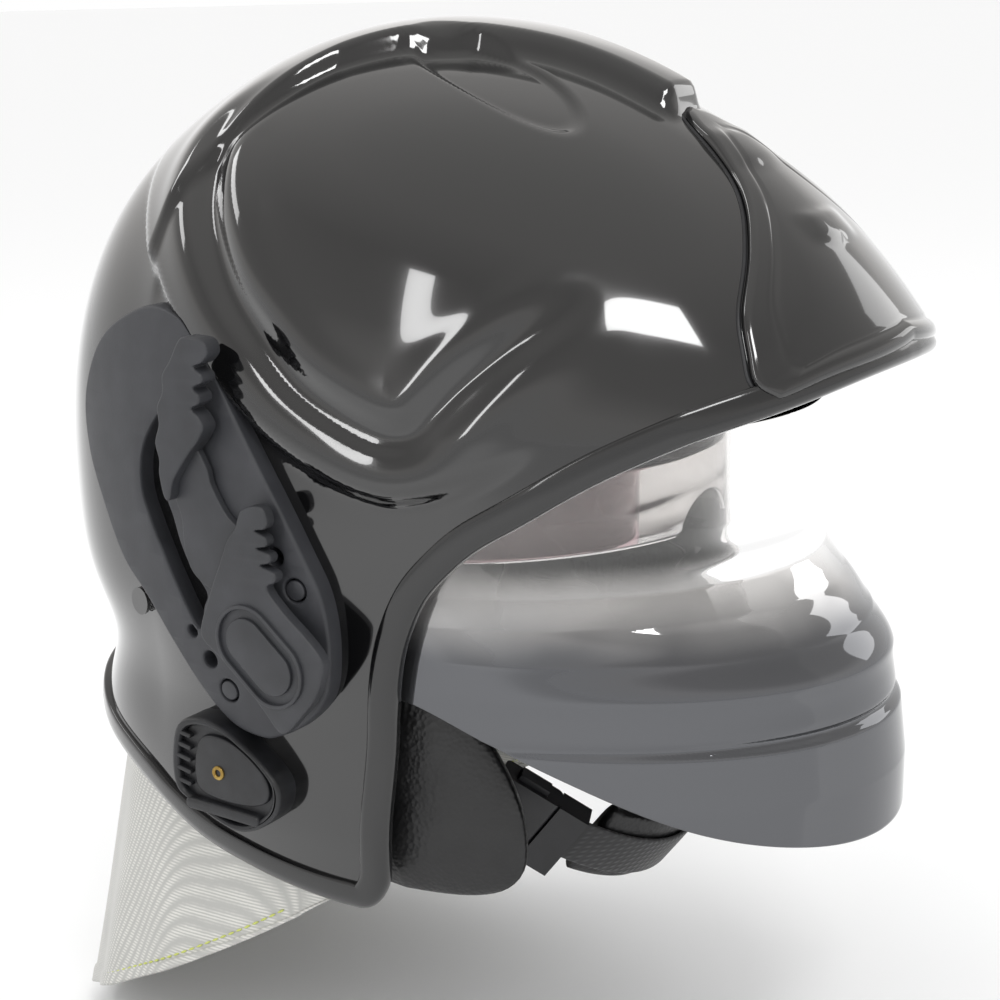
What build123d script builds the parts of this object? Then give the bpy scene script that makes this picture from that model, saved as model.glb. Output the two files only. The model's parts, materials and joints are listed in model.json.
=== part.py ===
"""Jet style fire helmet with a face shield, an ocular visor and a full head harness."""

import os
from math import atan2, cos, degrees, exp, pi, radians, sin

from build123d import *

os.makedirs("parts", exist_ok=True)

# Driving dimensions in millimetres. The origin is the middle of the head between the ears,
# the wearer faces -Y and the wearer's left is +X.
shell_half_width = 125.0
brim_reach = 196.0
back_reach = 144.0
crown_height = 182.0
shell_floor = -130.0
shell_wall = 4.0
widest_level = 25.0
brim_level = 62.0
jaw_tuck = 16.0
jaw_run = 140.0
waist_depth = 15.0
waist_level = -33.0
waist_run = 23.0

# Lip above the levers and the recess below it
side_recess = 6.0
lip_low = 45.0
lip_climb = 58.0
lip_middle = -57.0
lip_run = 96.0
recess_front = -110.0
recess_back = 100.0
recess_floor = -85.0
recess_fade = 45.0
recess_edge = 12.0

# Crest, edge trim and front plate
crest_height = 9.0
crest_half_width = 25.0
crest_nose = -102.0
crest_tail = 95.0
crest_rear_tuck = 7.0
trim_width = 10.0
trim_overlap = 4.0
trim_thickness = 1.2
plate_thickness = 2.6

# Visors and their pivots, as places in side view
shield_pivot = (-12.0, -14.0)
shield_half_width = 106.5
shield_wall = 2.5
shield_reach = 168.0
shield_top = 58.0
shield_drop = 84.0
shield_hub_radius = 14.0
visor_pivot = (2.0, 24.0)
visor_half_width = 100.8
visor_wall = 2.2
visor_reach = 114.0
visor_top = 40.0
visor_bottom = 12.0
visor_hub_radius = 11.0
nose_radius = 19.0

# Pins, levers and side panels
pin_radius = 4.5
pin_head_radius = 7.5
pin_head = 1.6
washer_radius = 7.5
panel_width = 120.0
panel_height = 145.0
panel_middle = (26.0, 25.0)
panel_proud = 1.0
panel_gap = 0.8
plug_radius = 4.0
disc_radius = 17.0
disc_thickness = 2.4
lever_gap = 0.4
lever_thickness = 4.4
grip_thickness = 7.2
blade_length = 68.0
lever_length = 52.0
boss_length = 36.0
boss_width = 23.0
boss_height = 1.5
rib_radius = 2.0

# Lamp brackets
bracket_length = 46.0
bracket_width = 32.0
bracket_middle = (13.0, -64.0)
bracket_tilt = 15.0
bracket_depth = 5.0
bracket_rib = 1.6
bracket_slot = (20.0, 7.0)
screw_radius = 2.6

# Liner, harness and pads
cavity_half_width = 82.0
cavity_half_length = 100.0
cavity_rise = 112.0
cavity_middle = (3.0, 24.0)
garage_gap = 2.0
liner_rear_edge = -4.0
knob_pocket_half_width = 34.0
knob_pocket_top = 36.0
knob_pocket_back = 126.0
band_half_width = 79.0
band_half_length = 95.0
band_level = 34.0
band_tilt = 13.0
band_width = 20.0
band_wall = 1.6
sweatband_thickness = 4.0
sweatband_back = -25.0
hanger_width = 14.0
hanger_height = 12.0
cradle_width = 22.0
cradle_thickness = 1.4
cradle_side_end = 42.0
cradle_rear_end = 28.5
crown_pad_radius = 46.0
crown_pad_thickness = 6.0
ratchet_width = 56.0
ratchet_height = 26.0
ratchet_depth = 5.0
knob_radius = 15.0
knob_depth = 9.0
knob_grooves = 16
spindle_radius = 4.0
cheek_pad_width = 120.0
cheek_pad_height = 86.0
cheek_pad_middle = (-22.0, -63.0)
cheek_pad_inner = 80.0
cheek_pad_outer = 98.6
cheek_pad_nose = 87.0
pad_round = 5.0
neck_pad_half_width = 62.0
neck_pad_thickness = 13.0
neck_pad_bottom = -50.0
neck_pad_top = -12.0

# Chin strap
strap_anchor = (30.0, -13.0)
strap_half_width = 77.5
strap_drop = 161.0
strap_slope = 39.0
strap_width = 20.0
strap_thickness = 1.8
anchor_size = (16.0, 14.0)
buckle_place = 46.0
buckle_length = 24.0
buckle_width = 30.0
buckle_depth = 9.0
button_length = 12.0
button_width = 5.0
button_depth = 5.0
button_travel = 2.5
chin_pad_spread = 26.0
chin_pad_width = 34.0
chin_pad_thickness = 8.0
tail_length = 34.0

# Nape curtain and small fixings
curtain_thickness = 2.2
curtain_inset = 9.2
curtain_tuck = 9.0
curtain_drop = 138.0
curtain_flare = 30.0
curtain_fold = 1.8
curtain_folds = 9
curtain_front = 6.0
curtain_top_level = -40.0
curtain_floor_level = -215.0
jaw_back = -35.0
snap_radius = 4.5
snap_height = 1.2
rivet_radius = 5.0
rivet_place = (60.0, -10.0)
rivet_height = 1.2

# Clearances
seat_gap = 0.3
soft_gap = 0.4
turning_gap = 0.3
cut_overrun = 260.0

# Shapes of the shell, as exponents and shares
front_round_share = 1.95
back_round_share = 2.15
side_crown_shares = (2.3, 0.44)
front_crown_shares = (1.2, 0.46)
back_crown_shares = (2.45, 0.47)
lip_bend_share = 1.6
section_count = 28
curtain_start = -0.08
level_shares = (0, 0.12, 0.22, 0.31, 0.4, 0.49, 0.58, 0.67, 0.75, 0.825, 0.89, 0.94, 0.975, 0.995)

# Lower edge of the shell in side view, as shares of the brim reach and the crown height
rim_shares = (
    (-1.1, 0.5), (-1.0, 0.45), (-0.95, 0.43), (-0.87, 0.39), (-0.76, 0.343), (-0.63, 0.275),
    (-0.51, 0.195), (-0.43, 0.143), (-0.378, 0.096), (-0.334, 0.044), (-0.304, -0.016),
    (-0.281, -0.085), (-0.263, -0.187), (-0.245, -0.352), (-0.232, -0.478), (-0.219, -0.544),
    (-0.186, -0.588), (-0.14, -0.593), (-0.036, -0.58), (0.077, -0.555), (0.2, -0.519),
    (0.342, -0.448), (0.49, -0.393), (0.638, -0.346), (0.816, -0.319),
)


def rise(t):
    """Smooth step from 0 to 1."""
    t = min(max(t, 0.0), 1.0)
    return t * t * (3 - 2 * t)


def crown_share(level, start, top, shares):
    """Share of the full reach that is left at a level, from 1 at start to 0 at top."""
    bulge, point = shares
    t = min(max((level - start) / (top - start), 0.0), 1.0)
    return (1 - t**bulge) ** point


def recess_share(y, z):
    """Share of the side recess that is reached at a place on the side of the shell."""
    lip_level = lip_low + lip_climb * abs((y - lip_middle) / lip_run) ** lip_bend_share
    below_lip = rise((lip_level - z) / recess_edge)
    behind_front = rise((y - recess_front) / recess_fade)
    before_back = rise((recess_back - y) / recess_fade)
    above_floor = rise((z - recess_floor) / recess_fade)
    return below_lip * behind_front * before_back * above_floor


def section_point(turn, level, growth, recess, lift, tuck):
    """Point of the shell's face at a turn from the wearer's left, on one level."""
    top = crown_height + growth + lift
    low = min(max((widest_level - level) / jaw_run, 0.0), 1.5)
    half_width = (shell_half_width + growth) * crown_share(level, widest_level, top, side_crown_shares)
    half_width -= jaw_tuck * low**1.6
    front = (brim_reach + growth) * crown_share(level, brim_level, top, front_crown_shares)
    back = (back_reach + growth - tuck) * crown_share(level, widest_level, top, back_crown_shares)
    back -= waist_depth * exp(-(((level - waist_level) / waist_run) ** 2))
    reach, shape = (front, front_round_share) if sin(turn) < 0 else (back, back_round_share)
    side = 1 if cos(turn) > 0 else -1
    y = (-1 if sin(turn) < 0 else 1) * reach * abs(sin(turn)) ** (2 / shape)
    x = side * half_width * abs(cos(turn)) ** (2 / shape)
    x -= side * recess * recess_share(y, level) * abs(cos(turn)) ** 0.5
    return x, y


def side_distance(place, growth=0.0, recess=side_recess):
    """Distance out to the shell's side face at a place in side view."""
    y, level = place
    low = min(max((widest_level - level) / jaw_run, 0.0), 1.5)
    half_width = (shell_half_width + growth) * crown_share(level, widest_level, crown_height, side_crown_shares)
    half_width -= jaw_tuck * low**1.6
    reach, shape = (brim_reach, front_round_share) if y < 0 else (back_reach, back_round_share)
    return half_width * (1 - abs(y / reach) ** shape) ** (1 / shape) - recess * recess_share(y, level)


def shell_body(growth=0.0, recess=side_recess, lift=0.0, tuck=0.0):
    """Solid inside the shell's face, grown outwards, with its crown lifted or its back tucked in."""
    top = crown_height + growth + lift
    with BuildPart() as body:
        for share in level_shares:
            level = shell_floor + share * (top - shell_floor)
            turns = [2 * pi * step / section_count for step in range(section_count)]
            points = [section_point(turn, level, growth, recess, lift, tuck) for turn in turns]
            with BuildSketch(Plane.XY.offset(level)):
                with BuildLine():
                    Spline(*points, periodic=True)
                make_face()
        loft()
    return body.part


def scaled(shares, y_size, z_size):
    """Points of an outline from its shares of two sizes."""
    return [(y_size * y_share, z_size * z_share) for y_share, z_share in shares]


def above_rim(inset):
    """Region above the shell's lower edge in side view, with its edge moved in by an inset."""
    points = [Vector(*point) for point in scaled(rim_shares, brim_reach, crown_height)]
    moved = []
    for index, point in enumerate(points):
        along = points[min(index + 1, len(points) - 1)] - points[max(index - 1, 0)]
        moved.append(point + Vector(-along.Y, along.X).normalized() * inset)
    with BuildSketch(Plane.YZ) as region:
        with BuildLine():
            Spline(*moved)
            Polyline(moved[-1], (cut_overrun, moved[-1].Y), (cut_overrun, cut_overrun),
                     (-cut_overrun, cut_overrun), (-cut_overrun, moved[0].Y), moved[0])
        make_face()
    return region.sketch


def finish(part, label):
    """Name a piece and write it."""
    part.label = label
    export_step(part, f"parts/{label}.step")
    return part


# Outer shell with its crest, the plastic trim on its edge and the plate on its brow
outer_face = shell_body()
inner_face = shell_body(-shell_wall)
seat_face = shell_body(seat_gap)

with BuildPart() as crest_zone:
    with BuildSketch(Plane.XY.offset(brim_level)):
        with BuildLine():
            Spline((0, crest_tail), (-crest_half_width, crest_nose / 4), (-crest_half_width * 0.8, crest_nose),
                   tangents=((-1, 0), (0, -1)))
            Line((-crest_half_width * 0.8, crest_nose), (crest_half_width * 0.8, crest_nose))
            Spline((crest_half_width * 0.8, crest_nose), (crest_half_width, crest_nose / 4), (0, crest_tail),
                   tangents=((0, 1), (-1, 0)))
        make_face()
    extrude(amount=cut_overrun)

with BuildPart() as crest:
    add(shell_body(0.0, side_recess, crest_height, crest_rear_tuck))
    add(crest_zone.part, mode=Mode.INTERSECT)

with BuildPart() as outer_shell:
    add(outer_face)
    add(crest.part)
    add(inner_face, mode=Mode.SUBTRACT)
    extrude(above_rim(trim_width - trim_overlap), amount=cut_overrun, both=True, mode=Mode.INTERSECT)
    with BuildSketch(Plane.YZ):
        with Locations(shield_pivot, visor_pivot):
            Circle(pin_radius + turning_gap)
    extrude(amount=cut_overrun, both=True, mode=Mode.SUBTRACT)

with BuildPart() as edge_trim:
    add(shell_body(trim_thickness))
    add(shell_body(-shell_wall - trim_thickness), mode=Mode.SUBTRACT)
    extrude(above_rim(0), amount=cut_overrun, both=True, mode=Mode.INTERSECT)
    extrude(above_rim(trim_width), amount=cut_overrun, both=True, mode=Mode.SUBTRACT)
    add(outer_shell.part, mode=Mode.SUBTRACT)

# The plate's outline is a front view, as shares of the shell's half width and height
plate_shares = ((0, 0.862), (0.064, 0.84), (0.176, 0.733), (0.312, 0.637), (0.432, 0.544),
                (0.484, 0.467), (0.5, 0.42), (0.47, 0.398))
plate_lip_shares = ((0.47, 0.398), (0.3, 0.43), (0, 0.455))

with BuildPart() as front_plate:
    add(shell_body(seat_gap + plate_thickness))
    with BuildSketch(Plane.XZ.offset(cut_overrun)):
        with BuildLine():
            top = Spline(*scaled(plate_shares, shell_half_width, crown_height), tangents=((1, 0), (-1, -0.6)))
            lip = Spline(*scaled(plate_lip_shares, shell_half_width, crown_height))
            Line(lip @ 1, top @ 0)
        make_face()
        mirror(about=Plane.YZ)
    extrude(amount=-cut_overrun, mode=Mode.INTERSECT)
    add(seat_face, mode=Mode.SUBTRACT)
    add(crest.part, mode=Mode.SUBTRACT)
    add(edge_trim.part, mode=Mode.SUBTRACT)

finish(outer_shell.part, "outer_shell")
finish(edge_trim.part, "edge_trim")
finish(front_plate.part, "front_plate")


def hub_block(pivot, radius, start, end):
    """Cylinder along X round a pivot, between two distances out on the right side."""
    with BuildPart() as block:
        with BuildSketch(Plane.YZ.offset(-start)):
            with Locations(pivot):
                Circle(radius)
        extrude(amount=start - end)
    return block.part


def side_block(points, start, end):
    """Prism along X on a smooth outline in side view, between two distances out on the right side."""
    with BuildPart() as block:
        with BuildSketch(Plane.YZ.offset(-start)):
            with BuildLine():
                Spline(*points, periodic=True)
            make_face()
        extrude(amount=start - end)
    return block.part


def placed(shares, width, height, middle):
    """Points of an outline from its shares of a width and a height round a middle."""
    return [(middle[0] + width * y_share, middle[1] + height * z_share) for y_share, z_share in shares]


def finish_pair(part, name):
    """Write a right-hand piece and its mirrored left-hand twin."""
    finish(part, f"{name}_right")
    finish(mirror(part, about=Plane.YZ), f"{name}_left")


# Side panels: a plate over the recess with a crescent slot, shaft holes and two plugs
panel_shares = (
    (0.17, 0.5), (0.05, 0.49), (-0.03, 0.45), (-0.17, 0.33), (-0.34, 0.12), (-0.44, -0.03), (-0.49, -0.13),
    (-0.5, -0.25), (-0.47, -0.37), (-0.38, -0.45), (-0.29, -0.49), (-0.23, -0.5), (-0.13, -0.48),
    (-0.03, -0.41), (0.08, -0.3), (0.18, -0.2), (0.29, -0.12), (0.39, 0.01), (0.47, 0.12), (0.5, 0.24),
    (0.44, 0.36), (0.34, 0.44),
)
slot_shares = (
    (0.058, 0.266), (0.123, 0.21), (0.158, 0.147), (0.159, 0.069), (0.126, 0.002), (0.085, -0.064),
    (0.044, -0.13), (-0.038, -0.245), (-0.07, -0.188), (-0.087, -0.151), (-0.033, -0.097), (0.0, -0.041),
    (0.025, 0.021), (0.058, 0.083), (0.078, 0.171),
)
plug_shares = ((-0.407, -0.112), (-0.131, -0.392))
panel_outer = shell_half_width + panel_proud
inside_panel = shell_half_width / 2

with BuildPart() as side_panel:
    add(shell_body(panel_proud, 0.0))
    add(side_block(placed(panel_shares, panel_width, panel_height, panel_middle), inside_panel, cut_overrun),
        mode=Mode.INTERSECT)
    add(shell_body(panel_gap), mode=Mode.SUBTRACT)
    add(side_block(placed(slot_shares, panel_width, panel_height, panel_middle), inside_panel, cut_overrun),
        mode=Mode.SUBTRACT)
    for pivot in (shield_pivot, visor_pivot):
        add(hub_block(pivot, pin_radius + turning_gap, inside_panel, cut_overrun), mode=Mode.SUBTRACT)

plug_places = placed(plug_shares, panel_width, panel_height, panel_middle)

with BuildPart() as panel_plugs:
    for place in plug_places:
        add(hub_block(place, plug_radius, side_distance(place) + seat_gap * 2, side_distance(place, 0.0, 0.0)))
    mirror(about=Plane.YZ)

with BuildPart() as plug_holes:
    for place in plug_places:
        add(hub_block(place, plug_radius, inside_panel, cut_overrun))

finish_pair(side_panel.part - plug_holes.part, "side_panel")
finish(panel_plugs.part, "panel_plugs")

# Face shield: reach at its heights, as shares of its drop and its full reach
shield_shares = (
    (-1.2, 0.995), (-0.8, 1.0), (-0.52, 0.985), (-0.34, 0.97), (-0.2, 0.935), (-0.06, 0.85), (0.06, 0.81),
    (0.3, 0.812), (0.8, 0.805),
)
shield_top_shares = ((-0.27, 0.24), (-0.46, 0.69), (-0.62, 0.93), (-0.775, 1.0))
shield_bottom_shares = ((-1.02, -1.0), (-0.84, -0.87), (-0.61, -0.65), (-0.46, -0.51), (-0.31, -0.38))


def shield_body(growth=0.0):
    """Solid inside the face shield's outer face, grown outwards."""
    with BuildPart() as body:
        for level_share, reach_share in shield_shares:
            with BuildSketch(Plane.XY.offset(level_share * shield_drop)):
                with Locations((0, shield_pivot[0])):
                    Ellipse(shield_half_width + growth, reach_share * shield_reach + growth)
        loft(ruled=True)
    return body.part


hub_top = (shield_pivot[0], shield_pivot[1] + shield_hub_radius)
hub_bottom = (shield_pivot[0], shield_pivot[1] - shield_hub_radius)

with BuildPart() as face_shield:
    with BuildSketch(Plane.YZ):
        with BuildLine():
            upper = Spline(hub_top, *scaled(shield_top_shares, shield_reach, shield_top),
                           tangents=((-1, 0), (-1, 0)))
            lower = Spline(*scaled(shield_bottom_shares, shield_reach, shield_drop), hub_bottom,
                           tangents=((1, 0.1), (1, 0)))
            Polyline(upper @ 1, (-cut_overrun, shield_top), (-cut_overrun, -shield_drop), lower @ 0)
            Line(hub_bottom, hub_top)
        make_face()
        with Locations(shield_pivot):
            Circle(shield_hub_radius)
            Circle(pin_radius, mode=Mode.SUBTRACT)
    extrude(amount=cut_overrun, both=True)
    add(shield_body(), mode=Mode.INTERSECT)
    add(shield_body(-shield_wall), mode=Mode.SUBTRACT)

finish(face_shield.part, "face_shield")

# Ocular visor with arms to its hubs and a notch for the nose
visor_top_shares = ((-0.3, 0.95), (-0.6, 1.0))
visor_bottom_shares = ((-0.6, 1.0), (-0.3, 1.0))


def visor_body(growth=0.0):
    """Solid inside the ocular visor's outer face, grown outwards."""
    with BuildPart() as body:
        with BuildSketch(Plane.XY.offset(-visor_top)):
            with Locations((0, visor_pivot[0])):
                Ellipse(visor_half_width + growth, visor_reach + growth)
        extrude(amount=3 * visor_top)
    return body.part


visor_hub_top = (visor_pivot[0], visor_pivot[1] + visor_hub_radius)
visor_hub_bottom = (visor_pivot[0], visor_pivot[1] - visor_hub_radius)

with BuildPart() as ocular_visor:
    add(visor_body())
    add(visor_body(-visor_wall), mode=Mode.SUBTRACT)
    with BuildSketch(Plane.YZ):
        with BuildLine():
            upper = Spline(visor_hub_top, *scaled(visor_top_shares, visor_reach, visor_top),
                           tangents=((-1, 0), (-1, 0)))
            lower = Spline(*scaled(visor_bottom_shares, visor_reach, visor_bottom), visor_hub_bottom,
                           tangents=((1, 0), (1, 0)))
            Polyline(upper @ 1, (-cut_overrun, visor_top), (-cut_overrun, visor_bottom), lower @ 0)
            Line(visor_hub_bottom, visor_hub_top)
        make_face()
        with Locations(visor_pivot):
            Circle(visor_hub_radius)
            Circle(pin_radius, mode=Mode.SUBTRACT)
    extrude(amount=cut_overrun, both=True, mode=Mode.INTERSECT)
    with BuildSketch(Plane.XZ):
        with Locations((0, visor_bottom - nose_radius / 3)):
            Circle(nose_radius)
    extrude(amount=cut_overrun, mode=Mode.SUBTRACT)

finish(ocular_visor.part, "ocular_visor")

# Levers: the upper one is a disc with a ribbed blade, the lower one lies over the disc
blade_shares = (
    (0.15, 1), (0.03, 0.99), (0.02, 0.91), (0.04, 0.56), (0.1, 0.47), (0.16, 0.4), (0.26, 0.28),
    (0.34, 0.2), (0.38, 0.34), (0.37, 0.57), (0.31, 0.79),
)
blade_rib_shares = ((0.02, 0.91), (0.025, 0.81), (0.03, 0.71), (0.035, 0.61))
lever_shares = (
    (0.1, 0.98), (-0.06, 0.99), (-0.1, 0.88), (-0.15, 0.54), (-0.12, 0.42), (-0.23, 0.31), (-0.38, 0.19),
    (-0.44, 0.06), (-0.43, -0.13), (-0.33, -0.35), (-0.15, -0.48), (0.12, -0.23), (0.35, -0.04),
    (0.48, 0.1), (0.37, 0.42), (0.21, 0.69),
)
lever_rib_shares = ((-0.1, 0.85), (-0.12, 0.73), (-0.14, 0.61), (-0.15, 0.5))
disc_start = panel_outer + lever_gap
lever_start = disc_start + disc_thickness + lever_gap
lever_end = lever_start + lever_thickness
grip_end = disc_start + grip_thickness

with BuildPart() as upper_lever:
    add(hub_block(visor_pivot, disc_radius, disc_start, disc_start + disc_thickness))
    add(side_block(placed(blade_shares, blade_length, blade_length, visor_pivot), disc_start, grip_end))
    for place in placed(blade_rib_shares, blade_length, blade_length, visor_pivot):
        add(hub_block(place, rib_radius, disc_start, grip_end))
    with BuildSketch(Plane.YZ.offset(-disc_start)):
        with BuildLine():
            Polyline(visor_pivot, *placed(((0.1, 0.47), (0.26, 0.28)), blade_length, blade_length, visor_pivot),
                     close=True)
        make_face()
    extrude(amount=-disc_thickness)
    add(hub_block(visor_pivot, pin_radius, inside_panel, cut_overrun), mode=Mode.SUBTRACT)

with BuildPart() as lower_lever:
    add(side_block(placed(lever_shares, lever_length, lever_length, shield_pivot), lever_start, lever_end))
    for place in placed(lever_rib_shares, lever_length, lever_length, shield_pivot):
        add(hub_block(place, rib_radius, lever_start, lever_end))
    with BuildSketch(Plane.YZ.offset(-lever_end)):
        with Locations(Location(shield_pivot, -45)):
            SlotOverall(boss_length, boss_width)
    extrude(amount=-boss_height)
    add(hub_block(shield_pivot, washer_radius, disc_start, lever_start))
    add(hub_block(shield_pivot, pin_radius, inside_panel, lever_end), mode=Mode.SUBTRACT)

finish_pair(upper_lever.part, "upper_lever")
finish_pair(lower_lever.part, "lower_lever")

# Pins join each lever to its visor through the panel and the shell, with a washer on the shaft
shield_seat = shield_half_width - shield_wall - seat_gap
visor_seat = visor_half_width - visor_wall - seat_gap

with BuildPart() as shield_pin:
    add(hub_block(shield_pivot, pin_radius, shield_seat, lever_end))
    add(hub_block(shield_pivot, pin_head_radius, shield_seat - pin_head, shield_seat))

with BuildPart() as visor_pin:
    add(hub_block(visor_pivot, pin_radius, visor_seat, disc_start + disc_thickness))
    add(hub_block(visor_pivot, pin_head_radius, visor_seat - pin_head, visor_seat))

with BuildPart() as pivot_washers:
    for pivot, start in ((shield_pivot, shield_half_width), (visor_pivot, visor_half_width)):
        edge_places = [(pivot[0] + y * washer_radius, pivot[1] + z * washer_radius) for y in (-1, 1) for z in (-1, 1)]
        end = min(side_distance(place, -shell_wall) for place in edge_places) - turning_gap
        add(hub_block(pivot, washer_radius, start + turning_gap, end))
        add(hub_block(pivot, pin_radius + turning_gap, start, end), mode=Mode.SUBTRACT)
    mirror(about=Plane.YZ)

finish_pair(shield_pin.part, "shield_pin")
finish_pair(visor_pin.part, "visor_pin")
finish(pivot_washers.part, "pivot_washers")

# Lamp brackets: a rubbery cap on each side with ribs, a slot for a clip and a screw
bracket_place = Location(bracket_middle, bracket_tilt)
bracket_foot = shell_half_width - 2 * side_recess
bracket_end = bracket_foot + side_recess + bracket_depth

with BuildPart() as lamp_bracket:
    with BuildSketch(Plane.YZ.offset(-bracket_foot + side_recess)):
        with Locations(bracket_place):
            SlotOverall(bracket_length, bracket_width)
    extrude(amount=bracket_foot - side_recess - bracket_end)
    fillet(lamp_bracket.faces().sort_by(Axis.X)[0].edges(), bracket_depth / 4)
    with BuildSketch(Plane.YZ.offset(-bracket_end)):
        with Locations(bracket_place):
            with Locations((-bracket_length / 8, -bracket_width / 4)):
                Rectangle(*bracket_slot)
            with Locations((bracket_length / 4, bracket_width / 4)):
                with GridLocations(2 * bracket_rib, 0, 4, 1):
                    Rectangle(bracket_rib, bracket_width / 4)
    extrude(amount=bracket_depth / 3, mode=Mode.SUBTRACT)
    add(hub_block(bracket_middle, screw_radius, inside_panel, cut_overrun), mode=Mode.SUBTRACT)
    add(seat_face, mode=Mode.SUBTRACT)

with BuildPart() as bracket_screws:
    add(hub_block(bracket_middle, screw_radius - seat_gap / 2, side_distance(bracket_middle) + 2 * seat_gap,
                  bracket_end - pin_head))
    mirror(about=Plane.YZ)

finish_pair(lamp_bracket.part, "lamp_bracket")
finish(bracket_screws.part, "bracket_screws")

# Rivets of the head harness on the back of the shell
rivet_step = rivet_radius / 2
rivet_slope = (side_distance((rivet_place[0] - rivet_step, rivet_place[1]))
               - side_distance((rivet_place[0] + rivet_step, rivet_place[1]))) / (2 * rivet_step)
rivet_plane = Plane(origin=(-side_distance(rivet_place) - seat_gap / 2, *rivet_place), z_dir=(-1, rivet_slope, 0))

with BuildPart() as nape_rivets:
    with BuildSketch(rivet_plane):
        Circle(rivet_radius)
    extrude(amount=rivet_height)
    mirror(about=Plane.YZ)

finish(nape_rivets.part, "nape_rivets")

# Impact liner: it fills the shell down to its lower edge, less the head cavity, the garage that the
# raised visors slide into and the pocket for the ratchet knob
liner_shares = (
    (-0.51, 0.26), (-0.515, 0.33), (-0.48, 0.42), (-0.47, 0.445), (-0.475, 0.462), (-0.443, 0.51),
    (-0.403, 0.565), (-0.362, 0.615), (-0.352, 0.66), (-0.352, 1.1), (0.8, 1.1),
)
liner_edge_shares = ((0.8, -0.02), (0.45, 0.0), (0.25, 0.1), (0.12, 0.21), (-0.2, 0.23), (-0.51, 0.26))
shield_garage_shares = (
    (-0.7, 0.0), (-0.07, 0.0), (-0.07, 0.16), (-0.112, 0.396), (-0.173, 0.56), (-0.327, 0.725), (-0.7, 0.725),
)
visor_garage_shares = ((-0.7, 0.0), (0.06, 0.0), (0.06, 0.225), (-0.5, 0.445), (-0.7, 0.445))


def cavity_body(growth=0.0):
    """Room for the head: an ellipsoid that runs on straight below its widest level."""
    middle = Location((0, *cavity_middle))
    half_width = cavity_half_width + growth
    half_length = cavity_half_length + growth
    with BuildPart() as dome:
        Sphere(cavity_half_width)
        scale(by=(half_width / cavity_half_width, half_length / cavity_half_width,
                  (cavity_rise + growth) / cavity_half_width))
    with BuildPart() as room:
        add(dome.part.moved(middle))
        with BuildSketch(Plane.XY.offset(cavity_middle[1])):
            with Locations((0, cavity_middle[0])):
                Ellipse(half_width, half_length)
        extrude(amount=-cavity_rise)
    return room.part


def garage(shares, pivot, half_width, sweep):
    """Room for a raised visor: a zone in side view, less the ball that its inner face turns round."""
    with BuildPart() as ball:
        Sphere(half_width)
        scale(by=((half_width - garage_gap) / half_width, (sweep - garage_gap) / half_width,
                  (sweep - garage_gap) / half_width))
    with BuildPart() as room:
        with BuildSketch(Plane.YZ):
            with BuildLine():
                Polyline(*scaled(shares, brim_reach, crown_height), close=True)
            make_face()
        extrude(amount=cut_overrun, both=True)
        add(ball.part.moved(Location((0, *pivot))), mode=Mode.SUBTRACT)
    return room.part


liner_face = shell_body(-shell_wall - soft_gap)
shield_sweep = shield_shares[-1][1] * shield_reach - shield_wall
visor_sweep = visor_reach - visor_wall

with BuildPart() as impact_liner:
    with BuildSketch(Plane.YZ):
        with BuildLine():
            Polyline(*scaled(liner_shares, brim_reach, crown_height),
                     *scaled(liner_edge_shares, brim_reach, crown_height))
        make_face()
    extrude(amount=cut_overrun, both=True)
    add(liner_face, mode=Mode.INTERSECT)
    add(cavity_body(), mode=Mode.SUBTRACT)
    add(garage(shield_garage_shares, shield_pivot, shield_half_width - shield_wall, shield_sweep), mode=Mode.SUBTRACT)
    add(garage(visor_garage_shares, visor_pivot, visor_half_width - visor_wall, visor_sweep), mode=Mode.SUBTRACT)
    with BuildSketch(Plane.XY.offset(liner_rear_edge - knob_pocket_top)):
        with Locations((0, knob_pocket_back / 2)):
            Rectangle(2 * knob_pocket_half_width, knob_pocket_back)
    extrude(amount=2 * knob_pocket_top - liner_rear_edge, mode=Mode.SUBTRACT)

finish(impact_liner.part, "impact_liner")

# Cradle of crossed webbing under the liner, with the crown pad under its crossing
with BuildPart() as cradle_straps:
    with BuildSketch(Plane.XY.offset(cradle_side_end)):
        with Locations((0, cavity_middle[0])):
            Rectangle(cut_overrun, cradle_width)
            with Locations((0, -cut_overrun / 4)):
                Rectangle(cradle_width, cut_overrun / 2)
    extrude(amount=cut_overrun)
    with BuildSketch(Plane.XY.offset(cradle_rear_end)):
        with Locations((0, cavity_middle[0] + cut_overrun / 4)):
            Rectangle(cradle_width, cut_overrun / 2)
    extrude(amount=cut_overrun)
    add(cavity_body(-soft_gap), mode=Mode.INTERSECT)
    add(cavity_body(-soft_gap - cradle_thickness), mode=Mode.SUBTRACT)

crown_pad_face = -2 * soft_gap - cradle_thickness

with BuildPart() as crown_pad:
    with BuildSketch(Plane.XY.offset(cavity_rise)):
        with Locations((0, cavity_middle[0])):
            Circle(crown_pad_radius)
    extrude(amount=cut_overrun)
    add(cavity_body(crown_pad_face), mode=Mode.INTERSECT)
    add(cavity_body(crown_pad_face - crown_pad_thickness), mode=Mode.SUBTRACT)

finish(cradle_straps.part, "cradle_straps")
finish(crown_pad.part, "crown_pad")

# Headband: a hoop tilted down to the nape, with its leather sweatband, hangers and ratchet
band_plane = Plane(
    origin=(0, cavity_middle[0], band_level),
    x_dir=(1, 0, 0),
    z_dir=(0, sin(radians(band_tilt)), cos(radians(band_tilt))),
)


def hoop(outer_growth, inner_growth, width):
    """Band round the head on the headband's plane."""
    with BuildPart() as band:
        with BuildSketch(band_plane):
            Ellipse(band_half_width + outer_growth, band_half_length + outer_growth)
            Ellipse(band_half_width + inner_growth, band_half_length + inner_growth, mode=Mode.SUBTRACT)
        extrude(amount=width / 2, both=True)
    return band.part


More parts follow.
